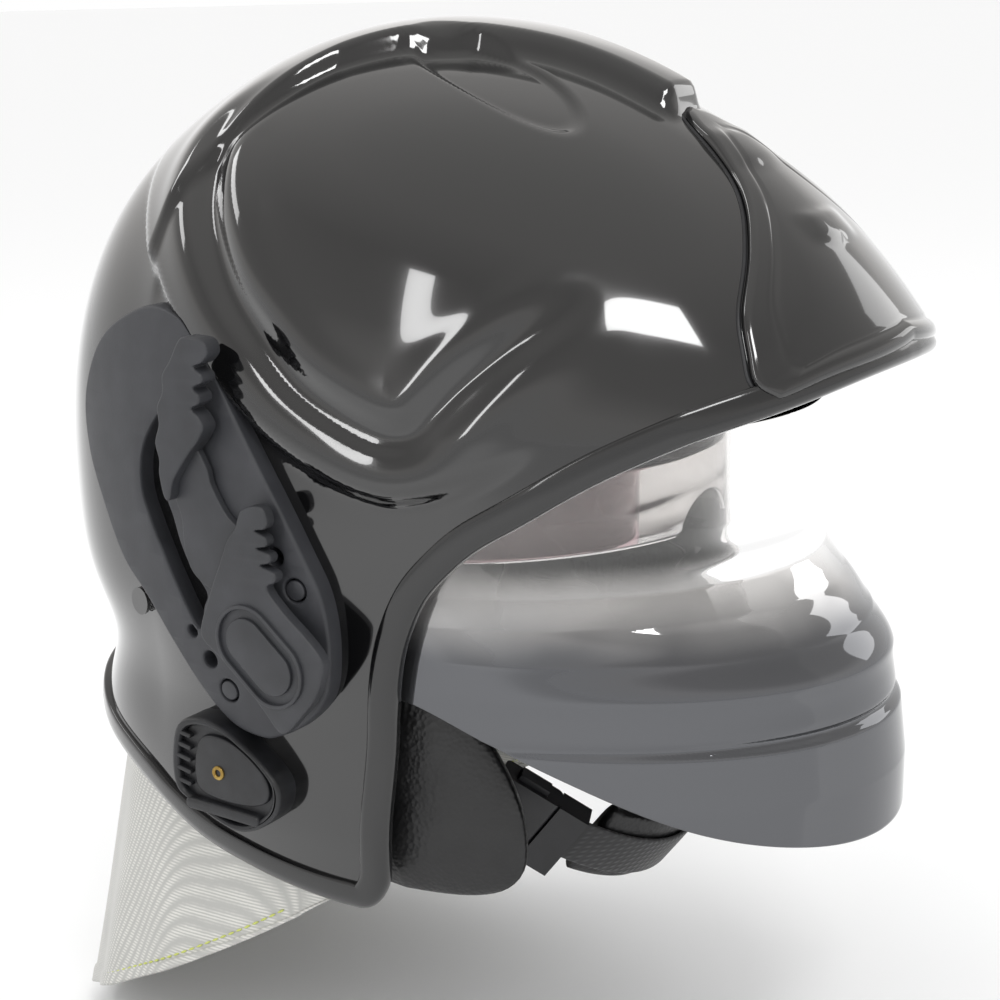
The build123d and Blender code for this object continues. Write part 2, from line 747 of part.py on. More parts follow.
headband = hoop(0, -band_wall, band_width)
sweatband_face = -band_wall - seat_gap

with BuildPart() as sweatband:
    add(hoop(sweatband_face, sweatband_face - sweatband_thickness, band_width))
    with BuildSketch(Plane.XZ.offset(-sweatband_back)):
        Rectangle(cut_overrun, cut_overrun)
    extrude(amount=cut_overrun, mode=Mode.INTERSECT)

with BuildPart() as band_hangers:
    add(hoop(cavity_half_width, 0, hanger_height))
    with BuildSketch():
        with PolarLocations(band_half_width, 4, start_angle=45):
            Rectangle(band_half_width, hanger_width)
    extrude(amount=cut_overrun, mode=Mode.INTERSECT)
    add(cavity_body(), mode=Mode.INTERSECT)

finish(headband, "headband")
finish(sweatband.part, "sweatband")
finish(band_hangers.part, "band_hangers")

knob_level = band_level - band_half_length * sin(radians(band_tilt))
ratchet_face = cavity_middle[0] + band_half_length * cos(radians(band_tilt))
knob_face = ratchet_face + ratchet_depth + 2 * turning_gap + cradle_thickness

with BuildPart() as ratchet_housing:
    with BuildSketch(Plane.XZ.offset(-ratchet_face)):
        with Locations((0, knob_level)):
            RectangleRounded(ratchet_width, ratchet_height, pad_round)
    extrude(amount=-ratchet_depth)
    with BuildSketch(Plane.XZ.offset(-ratchet_face)):
        with Locations((0, knob_level)):
            Circle(spindle_radius)
    extrude(amount=-ratchet_depth, mode=Mode.SUBTRACT)
    add(hoop(seat_gap, -band_wall - seat_gap, band_width + band_wall), mode=Mode.SUBTRACT)
    add(cavity_body(-soft_gap - cradle_thickness), mode=Mode.INTERSECT)

with BuildPart() as ratchet_knob:
    with BuildSketch(Plane.XZ.offset(-knob_face)):
        with Locations((0, knob_level)):
            Circle(knob_radius)
            with PolarLocations(knob_radius, knob_grooves):
                Circle(knob_radius / knob_grooves, mode=Mode.SUBTRACT)
    extrude(amount=-knob_depth)
    with BuildSketch(Plane.XZ.offset(-knob_face)):
        with Locations((0, knob_level)):
            Circle(spindle_radius - turning_gap)
    extrude(amount=ratchet_depth)

finish(ratchet_housing.part, "ratchet_housing")
finish(ratchet_knob.part, "ratchet_knob")

# Leather cheek pads inside the jaws and a cushion at the nape
cheek_shares = (
    (-0.07, 0.5), (-0.28, 0.38), (-0.42, 0.13), (-0.5, -0.15), (-0.48, -0.41), (-0.3, -0.5),
    (0.1, -0.44), (0.43, -0.24), (0.5, 0.1), (0.32, 0.43),
)

with BuildPart() as cheek_pad:
    add(side_block(placed(cheek_shares, cheek_pad_width, cheek_pad_height, cheek_pad_middle),
                   cheek_pad_inner, cheek_pad_outer))
    with BuildSketch(Plane.XY.offset(-cut_overrun)):
        with BuildLine():
            Polyline((-cheek_pad_inner, -cheek_pad_width), (-cheek_pad_nose, -cheek_pad_width / 1.4),
                     (-cheek_pad_outer, -cheek_pad_width / 3), (-cheek_pad_outer, cheek_pad_width),
                     (-cheek_pad_inner, cheek_pad_width), close=True)
        make_face()
    extrude(amount=2 * cut_overrun, mode=Mode.INTERSECT)
    fillet(cheek_pad.faces().sort_by(Axis.X)[-1].edges(), pad_round)

finish_pair(cheek_pad.part, "cheek_pad")

neck_pad_face = -shell_wall - 2 * soft_gap

with BuildPart() as neck_pad:
    with BuildSketch(Plane.XY.offset(neck_pad_bottom)):
        with Locations((0, back_reach)):
            Rectangle(2 * neck_pad_half_width, back_reach)
    extrude(amount=neck_pad_top - neck_pad_bottom)
    add(shell_body(neck_pad_face), mode=Mode.INTERSECT)
    add(shell_body(neck_pad_face - neck_pad_thickness), mode=Mode.SUBTRACT)

finish(neck_pad.part, "neck_pad")

# Chin strap on its slanted plane, with the anchors, buckle, two release buttons, pad, tail and keeper
strap_plane = Plane(
    origin=(0, *strap_anchor),
    x_dir=(1, 0, 0),
    z_dir=(0, sin(radians(strap_slope)), -cos(radians(strap_slope))),
)


def strap_hoop(outer_growth, inner_growth, width):
    """Band on the strap's curve, from one anchor under the chin to the other."""
    with BuildPart() as band:
        with BuildSketch(strap_plane):
            Ellipse(strap_half_width + outer_growth, strap_drop + outer_growth)
            Ellipse(strap_half_width + inner_growth, strap_drop + inner_growth, mode=Mode.SUBTRACT)
            with Locations((0, strap_drop)):
                Rectangle(3 * strap_half_width, 2 * strap_drop, mode=Mode.INTERSECT)
        extrude(amount=width / 2, both=True)
    return band.part


buckle_turn = radians(buckle_place)
buckle_spot = (-strap_half_width * cos(buckle_turn), strap_drop * sin(buckle_turn))
buckle_lean = degrees(atan2(strap_drop * cos(buckle_turn), strap_half_width * sin(buckle_turn)))
buckle_step = buckle_length * 3 / 4
plug_spot = (
    buckle_spot[0] + buckle_step * cos(radians(buckle_lean)),
    buckle_spot[1] + buckle_step * sin(radians(buckle_lean)),
)


def strap_box(spot, length, depth, start, end):
    """Box across the strap at a spot, between two distances from the strap's middle."""
    with BuildPart() as box:
        with BuildSketch(strap_plane.offset(start)):
            with Locations(Location(spot, buckle_lean)):
                Rectangle(length, depth)
        extrude(amount=end - start)
    return box.part


button_end = buckle_width / 2 + button_travel - turning_gap
button_start = button_end - button_width
button_floor = button_start - button_travel - turning_gap

with BuildPart() as buckle_socket:
    add(strap_box(buckle_spot, buckle_length, buckle_depth, -buckle_width / 2, buckle_width / 2))
    fillet(buckle_socket.edges().filter_by(Axis(strap_plane.origin, strap_plane.z_dir)), buckle_depth / 4)
    for side in (-1, 1):
        add(strap_box(buckle_spot, button_length + 2 * turning_gap, button_depth + 2 * turning_gap,
                      side * button_floor, side * buckle_width), mode=Mode.SUBTRACT)

buckle_plug = strap_box(plug_spot, buckle_length / 2, buckle_depth, -buckle_width / 2, buckle_width / 2)
buckle_button_upper = strap_box(buckle_spot, button_length, button_depth, -button_start, -button_end)
buckle_button_lower = strap_box(buckle_spot, button_length, button_depth, button_start, button_end)

with BuildPart() as chin_strap:
    add(strap_hoop(0, -strap_thickness, strap_width))
    add(strap_box(buckle_spot, buckle_length, 2 * buckle_depth, -buckle_width, buckle_width),
        mode=Mode.SUBTRACT)
    add(buckle_plug, mode=Mode.SUBTRACT)

strap_pieces = chin_strap.solids().sort_by(Axis.X)
finish(Part() + strap_pieces[0], "chin_strap_right")
finish(Part() + strap_pieces[-1], "chin_strap_left")
finish(buckle_socket.part, "buckle_socket")
finish(buckle_plug, "buckle_plug")
finish(buckle_button_upper, "buckle_button_upper")
finish(buckle_button_lower, "buckle_button_lower")

chin_pad_face = -strap_thickness - seat_gap

with BuildPart() as chin_pad:
    add(strap_hoop(chin_pad_face, chin_pad_face - chin_pad_thickness, chin_pad_width))
    with BuildSketch(strap_plane.offset(-chin_pad_width)):
        with Locations((0, strap_drop)):
            Rectangle(2 * strap_half_width * sin(radians(chin_pad_spread)), strap_drop)
    extrude(amount=2 * chin_pad_width, mode=Mode.INTERSECT)

with BuildPart() as strap_tail:
    add(strap_hoop(strap_thickness + seat_gap, seat_gap, strap_width - strap_thickness))
    with BuildSketch(strap_plane.offset(-strap_width)):
        with Locations((-strap_half_width, buckle_spot[1] - buckle_length - tail_length / 2)):
            Rectangle(strap_half_width, tail_length)
    extrude(amount=2 * strap_width, mode=Mode.INTERSECT)

keeper_face = strap_thickness + 2 * seat_gap

with BuildPart() as strap_keeper:
    add(strap_hoop(keeper_face + strap_thickness, -2 * strap_thickness - seat_gap, strap_width + 2 * strap_thickness))
    with BuildSketch(strap_plane.offset(-strap_width)):
        with Locations((-strap_half_width, buckle_spot[1] - buckle_length - tail_length / 2)):
            Rectangle(strap_half_width, tail_length / 4)
    extrude(amount=2 * strap_width, mode=Mode.INTERSECT)
    add(strap_hoop(keeper_face, -strap_thickness - seat_gap, strap_width + 2 * seat_gap), mode=Mode.SUBTRACT)

finish(chin_pad.part, "chin_pad")
finish(strap_tail.part, "strap_tail")
finish(strap_keeper.part, "strap_keeper")

anchor_back = (strap_anchor[0] + anchor_size[0] / 2, strap_anchor[1] - anchor_size[1] / 2)

with BuildPart() as strap_anchors:
    with BuildSketch(Plane.YZ.offset(strap_half_width + seat_gap)):
        with Locations(strap_anchor):
            RectangleRounded(*anchor_size, anchor_size[1] / 4)
    extrude(amount=side_distance(anchor_back) - shell_wall - strap_half_width - 3 * seat_gap)
    mirror(about=Plane.YZ)

finish(strap_anchors.part, "strap_anchors")


def rim_level(y):
    """Height of the shell's lower edge behind the jaw, at a place from front to back."""
    points = [point for point in scaled(rim_shares, brim_reach, crown_height) if point[0] > jaw_back]
    for (y_before, z_before), (y_after, z_after) in zip(points, points[1:]):
        if y <= y_after:
            return z_before + (z_after - z_before) * (y - y_before) / (y_after - y_before)
    return points[-1][1]


def curtain_edge(turn):
    """Place of the curtain at the shell's lower edge, at a turn from the wearer's left."""
    level = rim_level(section_point(turn, recess_floor, -curtain_inset, 0.0, 0.0, 0.0)[1])
    x = section_point(turn, level - curtain_tuck / 2, -curtain_inset, 0.0, 0.0, 0.0)[0]
    y = section_point(turn, level + 3 * curtain_tuck / 2, -curtain_inset, 0.0, 0.0, 0.0)[1]
    return Vector(x, y, level)


def curtain_point(turn, level):
    """Point of the curtain's middle face on one level, with the flare and the folds growing downwards."""
    edge = curtain_edge(turn)
    back = max(sin(turn), 0.0)
    flare = curtain_flare + curtain_fold * cos(2 * curtain_folds * turn)
    lean = flare * back / (curtain_front + curtain_drop * back**curtain_drop_share)
    out = lean * (edge.Z + curtain_tuck / 2 - level)
    return Vector(edge.X + out * cos(turn), edge.Y + out * sin(turn), level)


def curtain_side(level, growth):
    """Points of the curtain's outer or inner side on one level, from the wearer's left to right."""
    points = [curtain_point(turn, level) for turn in curtain_turns]
    side = []
    for index, point in enumerate(points):
        along = points[min(index + 1, len(points) - 1)] - points[max(index - 1, 0)]
        moved = point + Vector(along.Y, -along.X).normalized() * growth
        side.append((moved.X, moved.Y))
    return side


# The hem in side view, as shares of the brim reach and the crown height
hem_shares = (
    (-0.122, -0.593), (-0.077, -0.61), (0.077, -0.714), (0.245, -0.813), (0.485, -0.945), (0.724, -1.077),
    (0.893, -1.132),
)
curtain_drop_share = 0.87
curtain_steps = 8 * curtain_folds
curtain_turns = [curtain_start + (pi - 2 * curtain_start) * step / curtain_steps for step in range(curtain_steps + 1)]
snap_turn = snap_radius / back_reach

with BuildPart() as nape_curtain:
    for level in (curtain_top_level, curtain_floor_level):
        with BuildSketch(Plane.XY.offset(level)):
            with BuildLine():
                outer = Spline(*curtain_side(level, curtain_thickness / 2))
                inner = Spline(*curtain_side(level, -curtain_thickness / 2))
                Line(outer @ 0, inner @ 0)
                Line(outer @ 1, inner @ 1)
            make_face()
    loft(ruled=True)
    extrude(above_rim(curtain_tuck), amount=cut_overrun, both=True, mode=Mode.SUBTRACT)
    with BuildSketch(Plane.YZ):
        with BuildLine():
            hem = Spline(*scaled(hem_shares, brim_reach, crown_height))
            Polyline(hem @ 1, (cut_overrun, curtain_floor_level), (cut_overrun, cut_overrun),
                     (-cut_overrun, cut_overrun), (-cut_overrun, shell_floor), hem @ 0)
        make_face()
    extrude(amount=cut_overrun, both=True, mode=Mode.INTERSECT)

with BuildPart() as curtain_snaps:
    for step in range(2, curtain_folds, 2):
        turn = pi * step / (curtain_folds + 1)
        level = curtain_edge(turn).Z
        place = curtain_point(turn, level)
        along = curtain_point(turn + snap_turn, level) - curtain_point(turn - snap_turn, level)
        down = curtain_point(turn, level - snap_radius) - place
        inward = along.cross(down).normalized() * (1 if along.cross(down).dot(place) < 0 else -1)
        with BuildSketch(Plane(origin=place + inward * (curtain_thickness / 2 + 2 * seat_gap), z_dir=inward)):
            Circle(snap_radius)
        extrude(amount=snap_height)

finish(nape_curtain.part, "nape_curtain")
finish(curtain_snaps.part, "curtain_snaps")
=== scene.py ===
import json
import math

import bmesh
import bpy
import numpy as np
from mathutils import Matrix, Vector
from mathutils.geometry import tessellate_polygon


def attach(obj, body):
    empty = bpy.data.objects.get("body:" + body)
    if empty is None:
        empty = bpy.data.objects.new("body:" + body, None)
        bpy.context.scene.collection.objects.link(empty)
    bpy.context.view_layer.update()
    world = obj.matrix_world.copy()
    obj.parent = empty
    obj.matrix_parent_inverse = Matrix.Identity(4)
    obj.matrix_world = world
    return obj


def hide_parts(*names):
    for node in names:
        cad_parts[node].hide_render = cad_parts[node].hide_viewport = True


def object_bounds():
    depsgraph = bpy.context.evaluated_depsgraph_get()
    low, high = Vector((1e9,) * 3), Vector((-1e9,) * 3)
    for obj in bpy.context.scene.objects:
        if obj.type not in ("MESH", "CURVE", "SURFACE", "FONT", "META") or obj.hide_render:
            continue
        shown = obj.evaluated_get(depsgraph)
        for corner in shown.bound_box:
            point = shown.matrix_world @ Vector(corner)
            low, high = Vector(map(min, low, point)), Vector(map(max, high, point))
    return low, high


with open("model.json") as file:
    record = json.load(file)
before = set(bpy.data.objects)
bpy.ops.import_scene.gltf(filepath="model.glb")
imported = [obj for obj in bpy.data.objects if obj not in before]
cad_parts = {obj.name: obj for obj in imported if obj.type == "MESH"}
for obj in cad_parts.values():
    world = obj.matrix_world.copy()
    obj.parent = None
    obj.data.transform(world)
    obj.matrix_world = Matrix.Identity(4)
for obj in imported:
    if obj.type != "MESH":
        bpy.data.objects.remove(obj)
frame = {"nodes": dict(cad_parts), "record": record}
cadBox = [list(corner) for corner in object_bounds()]
nodes = frame["nodes"]
slotOf = {row["node"]: row["material_slot"] for row in frame["record"]["subparts"]}
mm = 0.001
print("frame loaded:", len(nodes), "nodes")

# Small tools


def linear(hexColour):
    channels = [int(hexColour[start:start + 2], 16) / 255 for start in (1, 3, 5)]
    return tuple(c / 12.92 if c <= 0.04045 else ((c + 0.055) / 1.055) ** 2.4 for c in channels) + (1.0,)


def addNode(tree, kind, values=None, links=None, **settings):
    node = tree.nodes.new("ShaderNode" + kind)
    for key, value in settings.items():
        setattr(node, key, value)
    for socket, value in (values or {}).items():
        node.inputs[socket].default_value = value
    for socket, source in (links or {}).items():
        tree.links.new(source, node.inputs[socket])
    return node


def newMaterial(name, hexColour, roughness, **sockets):
    material = bpy.data.materials.new(name)
    material.use_nodes = True
    tree = material.node_tree
    shader = tree.nodes["Principled BSDF"]
    shader.inputs["Base Color"].default_value = linear(hexColour)
    shader.inputs["Roughness"].default_value = roughness
    for socket, value in sockets.items():
        shader.inputs[socket.replace("_", " ")].default_value = value
    return material, (tree, shader, addNode(tree, "TexCoord").outputs["Object"])


def newObject(name, points, faces, material):
    mesh = bpy.data.meshes.new(name)
    mesh.from_pydata(points, [], faces)
    mesh.update()
    mesh.materials.append(material)
    made = bpy.data.objects.new(name, mesh)
    bpy.context.scene.collection.objects.link(made)
    return made


def makePiece(name, shape, material, *replaced, body="helmet", slot=None):
    points, faces = shape
    places = (np.asarray(points, dtype=float) * mm).tolist()
    piece = newObject(name, places, [list(map(int, face)) for face in faces], material)
    piece.data.polygons.foreach_set("use_smooth", [True] * len(faces))
    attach(piece, body)
    if replaced:
        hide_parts(*replaced)
    return piece


def rise(t):
    t = np.clip(t, 0.0, 1.0)
    return t * t * (3 - 2 * t)


def waves(t, rows):
    # sum of smooth humps, each given by its place, its run and its height
    return sum(height * np.exp(-(((t - place) / run) ** 2)) for place, run, height in rows)


def unit(vectors):
    return vectors / np.maximum(np.linalg.norm(vectors, axis=-1, keepdims=True), 1e-9)


def gridFaces(rows, columns, start=0, wrapColumns=False, wrapRows=False):
    faces = []
    for row in range(rows if wrapRows else rows - 1):
        for column in range(columns if wrapColumns else columns - 1):
            below, right = (row + 1) % rows, (column + 1) % columns
            faces.append((start + row * columns + column, start + row * columns + right,
                          start + below * columns + right, start + below * columns + column))
    return faces


def gridNormals(points):
    return unit(np.cross(np.gradient(points, axis=1), np.gradient(points, axis=0)))


def thickGrid(outer, inner):
    # two grids of the same layout, closed along their four edges
    rows, columns = outer.shape[:2]
    count = rows * columns
    points = np.concatenate([outer.reshape(-1, 3), inner.reshape(-1, 3)])
    faces = gridFaces(rows, columns) + [face[::-1] for face in gridFaces(rows, columns, count)]
    index = np.arange(count).reshape(rows, columns)
    loop = list(index[0, :]) + list(index[1:, -1]) + list(index[-1, -2::-1]) + list(index[-2:0:-1, 0])
    faces += [(here, here + count, there + count, there) for here, there in zip(loop, loop[1:] + loop[:1])]
    return points, faces


def sweep(path, across, out, profile, closed=False):
    # a closed profile of (across, out) steps carried along a path
    rings = np.transpose([path + across * a + out * o for a, o in profile], (1, 0, 2))
    rows, columns = rings.shape[:2]
    faces = gridFaces(rows, columns, wrapColumns=True, wrapRows=closed)
    if not closed:
        faces += [tuple(range(columns))[::-1], tuple(range((rows - 1) * columns, rows * columns))]
    return rings.reshape(-1, 3), faces


def roundedProfile(half, thin, count, squareAcross=1.0, squareOut=1.0):
    # closed profile between an ellipse and a box: the smaller the share, the squarer that way
    angles = np.linspace(0, 2 * math.pi, count, endpoint=False)
    return [(half * math.copysign(abs(math.cos(a)) ** squareAcross, math.cos(a)),
             thin * math.copysign(abs(math.sin(a)) ** squareOut, math.sin(a))) for a in angles]


def walked(points):
    # length walked along a line up to each of its points
    return np.concatenate([[0], np.cumsum(np.linalg.norm(np.diff(points, axis=0), axis=1))])


def sample(steps, values, at):
    # values known at steps along a line, read at other places along it
    return np.stack([np.interp(at, steps, column) for column in values.T], axis=-1)


def evenSteps(points, count):
    lengths = walked(points)
    return sample(lengths, points, np.linspace(0, lengths[-1], count))


def joined(shapes):
    # several shapes made into one
    points, faces = [], []
    for shapePoints, shapeFaces in shapes:
        faces += [tuple(index + len(points) for index in face) for face in shapeFaces]
        points += list(shapePoints)
    return points, faces


def splinePoints(row, steps):
    # curve through all but the ends of a row of control points
    dense = []
    t = np.linspace(0, 1, steps, endpoint=False)[:, None]
    for before, start, end, after in zip(row, row[1:], row[2:], row[3:]):
        dense.append(0.5 * (2 * start + (end - before) * t
                            + (2 * before - 5 * start + 4 * end - after) * t**2
                            + (3 * start - before - 3 * end + after) * t**3))
    return np.vstack(dense)


def smoothCurve(controls, count):
    # curve through control points, with an even step along its length
    controls = np.asarray(controls, dtype=float)
    row = np.vstack([2 * controls[0] - controls[1], controls, 2 * controls[-1] - controls[-2]])
    return evenSteps(np.vstack([splinePoints(row, 24), controls[-1:]]), count)


def closedCurve(controls, count):
    # smooth loop through control points, with an even step along its length
    controls = np.asarray(controls, dtype=float)
    dense = splinePoints(np.vstack([controls[-1:], controls, controls[:2]]), 20)
    return evenSteps(np.vstack([dense, dense[:1]]), count + 1)[:-1]


def loopSteps(loop, reach=1):
    # step across each point of a closed line, from the point before it to the point after it
    return np.roll(loop, -reach, axis=0) - np.roll(loop, reach, axis=0)


def smoothLoop(vectors):
    for _ in range(3):
        vectors = (np.roll(vectors, 1, axis=0) + 2 * vectors + np.roll(vectors, -1, axis=0)) / 4
    return unit(vectors)


def leavesAt(outside, near, far):
    # distance at which a line leaves a body, between a place inside it and one outside it
    for _ in range(44):
        half = (near + far) / 2
        beyond = outside(half)
        far, near = np.where(beyond, half, far), np.where(beyond, near, half)
    return near


def nearestOn(line, points):
    # for each point: distance to a broken line, the step it is nearest to, the gap there, the share walked
    best, walks = np.full(len(points), 1e9), np.zeros(len(points))
    steps, gaps = np.zeros_like(points), np.zeros_like(points)
    for index, (start, end) in enumerate(zip(line[:-1], line[1:])):
        along = end - start
        t = np.clip(((points - start) @ along) / (along @ along), 0, 1)
        gap = points - (start + t[:, None] * along)
        distance = np.linalg.norm(gap, axis=1)
        closer = distance < best
        best, walks = np.where(closer, distance, best), np.where(closer, index + t, walks)
        steps, gaps = np.where(closer[:, None], along, steps), np.where(closer[:, None], gap, gaps)
    return best, steps, gaps, walks / (len(line) - 1)


def betweenEdges(y, share, bottom, top, floor=-1e3):
    # level at a share of the way from a lower to an upper edge, both drawn in side view
    low, high = (np.interp(-y, -edge[:, 0], edge[:, 1]) for edge in (bottom, top))
    low = np.maximum(low, floor)
    return low + (high - low) * share


# Camera: the fitted view of the photograph
view = {"azimuth": -56.976, "elevation": 13.793, "distance": 789.948, "roll": -1.584, "lens": 75.157,
        "sensor": 36.0, "target": (2.475, -21.806, 11.449)}
facing = (Matrix.Rotation(math.radians(view["azimuth"]), 4, "Z")
          @ Matrix.Rotation(math.radians(90 - view["elevation"]), 4, "X")
          @ Matrix.Rotation(math.radians(view["roll"]), 4, "Z"))
cameraData = bpy.data.cameras.new("camera")
cameraData.lens, cameraData.sensor_width, cameraData.clip_start = view["lens"], view["sensor"], 0.01
camera = bpy.data.objects.new("camera", cameraData)
camera.matrix_world = (Matrix.Translation(Vector(view["target"]) * mm) @ facing
                       @ Matrix.Translation((0, 0, view["distance"] * mm)))
bpy.context.scene.collection.objects.link(camera)
bpy.context.scene.camera = camera

# Materials


def connect(parts, node, socket):
    parts[0].links.new(node.outputs[0], parts[1].inputs[socket])


def clouds(parts, sizeMm, detail):
    # soft pattern with spots about as large as the given millimetres
    return addNode(parts[0], "TexNoise", {"Scale": 1000 / sizeMm, "Detail": detail}, {"Vector": parts[2]})


def addRelief(parts, pattern, heightMm, **under):
    # bump from a pattern, over another one if it is given as Normal
    bump = addNode(parts[0], "Bump", {"Strength": 1.0, "Distance": heightMm * mm},
                   {"Height": pattern.outputs[0], **under})
    connect(parts, bump, "Normal")
    return bump.outputs[0]


def addGrain(parts, grainMm, heightMm, detail=2.0):
    # fine relief whose grains have the given size
    return addRelief(parts, clouds(parts, grainMm, detail), heightMm)


def addCells(parts, cellMm, heightMm):
    # fine relief of round cells of the given size
    cells = addNode(parts[0], "TexVoronoi", {"Scale": 1000 / cellMm}, {"Vector": parts[2]})
    return addRelief(parts, cells, heightMm)


def blend(parts, factor, low, high, start=0.3, end=0.7):
    # a ramp from one colour to another
    ramp = addNode(parts[0], "ValToRGB", None, {"Fac": factor})
    for stop, position, colour in zip(ramp.color_ramp.elements, (start, end), (low, high)):
        stop.position, stop.color = position, linear(colour)
    return ramp


def addVariation(parts, socket, low, high, sizeMm):
    # slow change of one property over the surface
    spots = clouds(parts, sizeMm, 3.0).outputs[0]
    if isinstance(low, str):
        change = blend(parts, spots, low, high)
    else:
        span = {"From Min": 0.3, "From Max": 0.7, "To Min": low, "To Max": high}
        change = addNode(parts[0], "MapRange", span, {"Value": spots})
    connect(parts, change, socket)


def surface(name, hexColour, roughness, variation, grain, **sockets):
    # a material with one slow change over it and one fine grain
    material, parts = newMaterial(name, hexColour, roughness, **sockets)
    addVariation(parts, *variation)
    addGrain(parts, *grain)
    return material


def mouldedNylon(name, low, high, roughness=0.55):
    # glass-filled nylon from a spark-eroded mould: dull, dark grey, with a fine even grain
    return surface(name, low, roughness, ("Base Color", low, high, 14), (0.7, 0.05, 3.0))


def plainPlastic(name, low, high, roughness):
    # injection moulded plastic with a light satin texture
    return surface(name, low, roughness, ("Base Color", low, high, 10), (0.8, 0.02))


def metal(name, low, high, roughness):
    # turned or pressed metal with light handling marks
    return surface(name, low, roughness, ("Base Color", low, high, 3), (0.5, 0.01), Metallic=1.0)


def leather():
    # grained cowhide, finished: black, with small cells and a soft shine on their tops
    material, parts = newMaterial("black leather, grained", "#141415", 0.36)
    cells = addCells(parts, 1.6, 0.18)
    addVariation(parts, "Roughness", 0.3, 0.5, 12)
    addRelief(parts, clouds(parts, 22.0, 4.0), 0.9, Normal=cells)
    return material


def foam():
    # moulded polystyrene bead foam, black: fused beads about 3 mm across
    material, parts = newMaterial("black bead foam, moulded", "#101011", 0.8)
    addCells(parts, 3.0, 0.12)
    addVariation(parts, "Base Color", "#0D0D0E", "#19191A", 10)
    return material


def thread(name, hexColour):
    # polyester sewing thread, twisted
    material, parts = newMaterial(name, hexColour, 0.6)
    addGrain(parts, 0.5, 0.05)
    return material


def weave(name, low, high, threadMm, reliefMm, roughness, **sockets):
    # plain weave: two crossed sets of threads, each thread as wide as the given spacing
    material, parts = newMaterial(name, low, roughness, **sockets)
    tree, _, place = parts
    wave = {"Scale": 1000 / threadMm / 20 * math.pi, "Distortion": 0.6, "Detail": 1.0, "Detail Scale": 2.0}
    sets = [addNode(tree, "TexWave", wave, {"Vector": place}, bands_direction=direction).outputs[1]
            for direction in ("X", "Z")]
    both = addNode(tree, "Math", None, dict(enumerate(sets)), operation="MULTIPLY")
    addRelief(parts, both, reliefMm)
    # base colour lighter on the raised thread crossings and darker between the threads, following the relief:
    # painted sheen and painted shade, scaled by a random cloud tone
    threadShadeAndTone = addNode(tree, "Math", {2: 0.35}, {0: both.outputs[0], 1: clouds(parts, 18.0, 4.0).outputs[0]},
                    operation="MULTIPLY_ADD")
    connect(parts, blend(parts, threadShadeAndTone.outputs[0], low, high, 0.25, 0.75), "Base Color")
    return material


def mirrorShield():
    # polycarbonate, injection moulded and vacuum metallised: clear at the top, mirror below
    material, parts = newMaterial("polycarbonate, vacuum metallised", "#8E8E90", 0.05, IOR=1.586)
    tree, _, place = parts
    height = addNode(tree, "SeparateXYZ", None, {0: place}).outputs["Z"]
    bent = addNode(tree, "Math", {1: 0.012}, {0: clouds(parts, 40.0, 2.0).outputs[0], 2: height},
                   operation="MULTIPLY_ADD")
    share = addNode(tree, "MapRange", {"From Min": -0.012, "From Max": 0.022}, {"Value": bent.outputs[0]},
                    interpolation_type="SMOOTHSTEP").outputs[0]
    for socket, coated, clear in (("Transmission Weight", 0.12, 1.0), ("Metallic", 0.86, 0.0)):
        connect(parts, addNode(tree, "MapRange", {"To Min": coated, "To Max": clear}, {"Value": share}), socket)
    connect(parts, blend(parts, share, "#626366", "#ECEAE8", 0.0, 1.0), "Base Color")
    addVariation(parts, "Roughness", 0.02, 0.06, 50)
    return material


def clearVisor():
    # polycarbonate with its rose protective film still on
    material, parts = newMaterial("polycarbonate with film", "#EBCBD0", 0.04, IOR=1.586,
                                  Transmission_Weight=0.9)
    addVariation(parts, "Base Color", "#E6C3CA", "#F3DDDF", 45)
    addVariation(parts, "Roughness", 0.03, 0.09, 20)
    return material


# sprayed two-layer lacquer on moulded composite: deep black, mirror gloss, faint orange peel
lacquer = surface("black lacquer, sprayed", "#0B0B0C", 0.09, ("Roughness", 0.07, 0.13, 60), (9.0, 0.012, 1.0),
                  Coat_Weight=1.0, Coat_Roughness=0.02)
# extruded soft vinyl with a polished skin: black, a little softer in its shine than lacquer
vinyl = surface("black vinyl, extruded", "#0C0C0D", 0.16, ("Roughness", 0.12, 0.22, 25), (3.0, 0.01),
                Coat_Weight=0.5, Coat_Roughness=0.06)
# moulded rubber: near black, satin, faint bloom in soft patches
blackRubber = surface("black rubber, moulded", "#17181A", 0.42, ("Base Color", "#141416", "#212225", 8),
                      (0.9, 0.03))
panelNylon = mouldedNylon("dark grey nylon, moulded", "#2B2C30", "#35363A")
leverNylon = mouldedNylon("charcoal nylon, moulded", "#28292C", "#333438", 0.5)
blackLeather = leather()
blackFoam = foam()
blackWebbing = weave("black webbing, woven", "#121213", "#2C2C2E", 1.1, 0.18, 0.62, Sheen_Weight=0.2)
foilCloth = weave("aluminised cloth, woven", "#A3A3A0", "#D2D1CC", 0.6, 0.07, 0.42, Metallic=0.4)
steel = metal("stainless steel, turned", "#8E8F92", "#B5B6B8", 0.3)
brass = metal("brass, turned", "#8A6F3A", "#B59A5A", 0.35)
bandPlastic = plainPlastic("black polyethylene, moulded", "#1A1A1C", "#242427", 0.5)
bucklePlastic = plainPlastic("black acetal, moulded", "#141416", "#1D1D20", 0.38)
buttonPlastic = plainPlastic("charcoal acetal, moulded", "#1B1B1D", "#262629", 0.45)
washerPlastic = plainPlastic("white acetal, turned", "#C9C9C4", "#DADAD6", 0.4)
coatedShield = mirrorShield()
filmVisor = clearVisor()
hemThread = thread("yellow green thread, twisted", "#BFC76A")

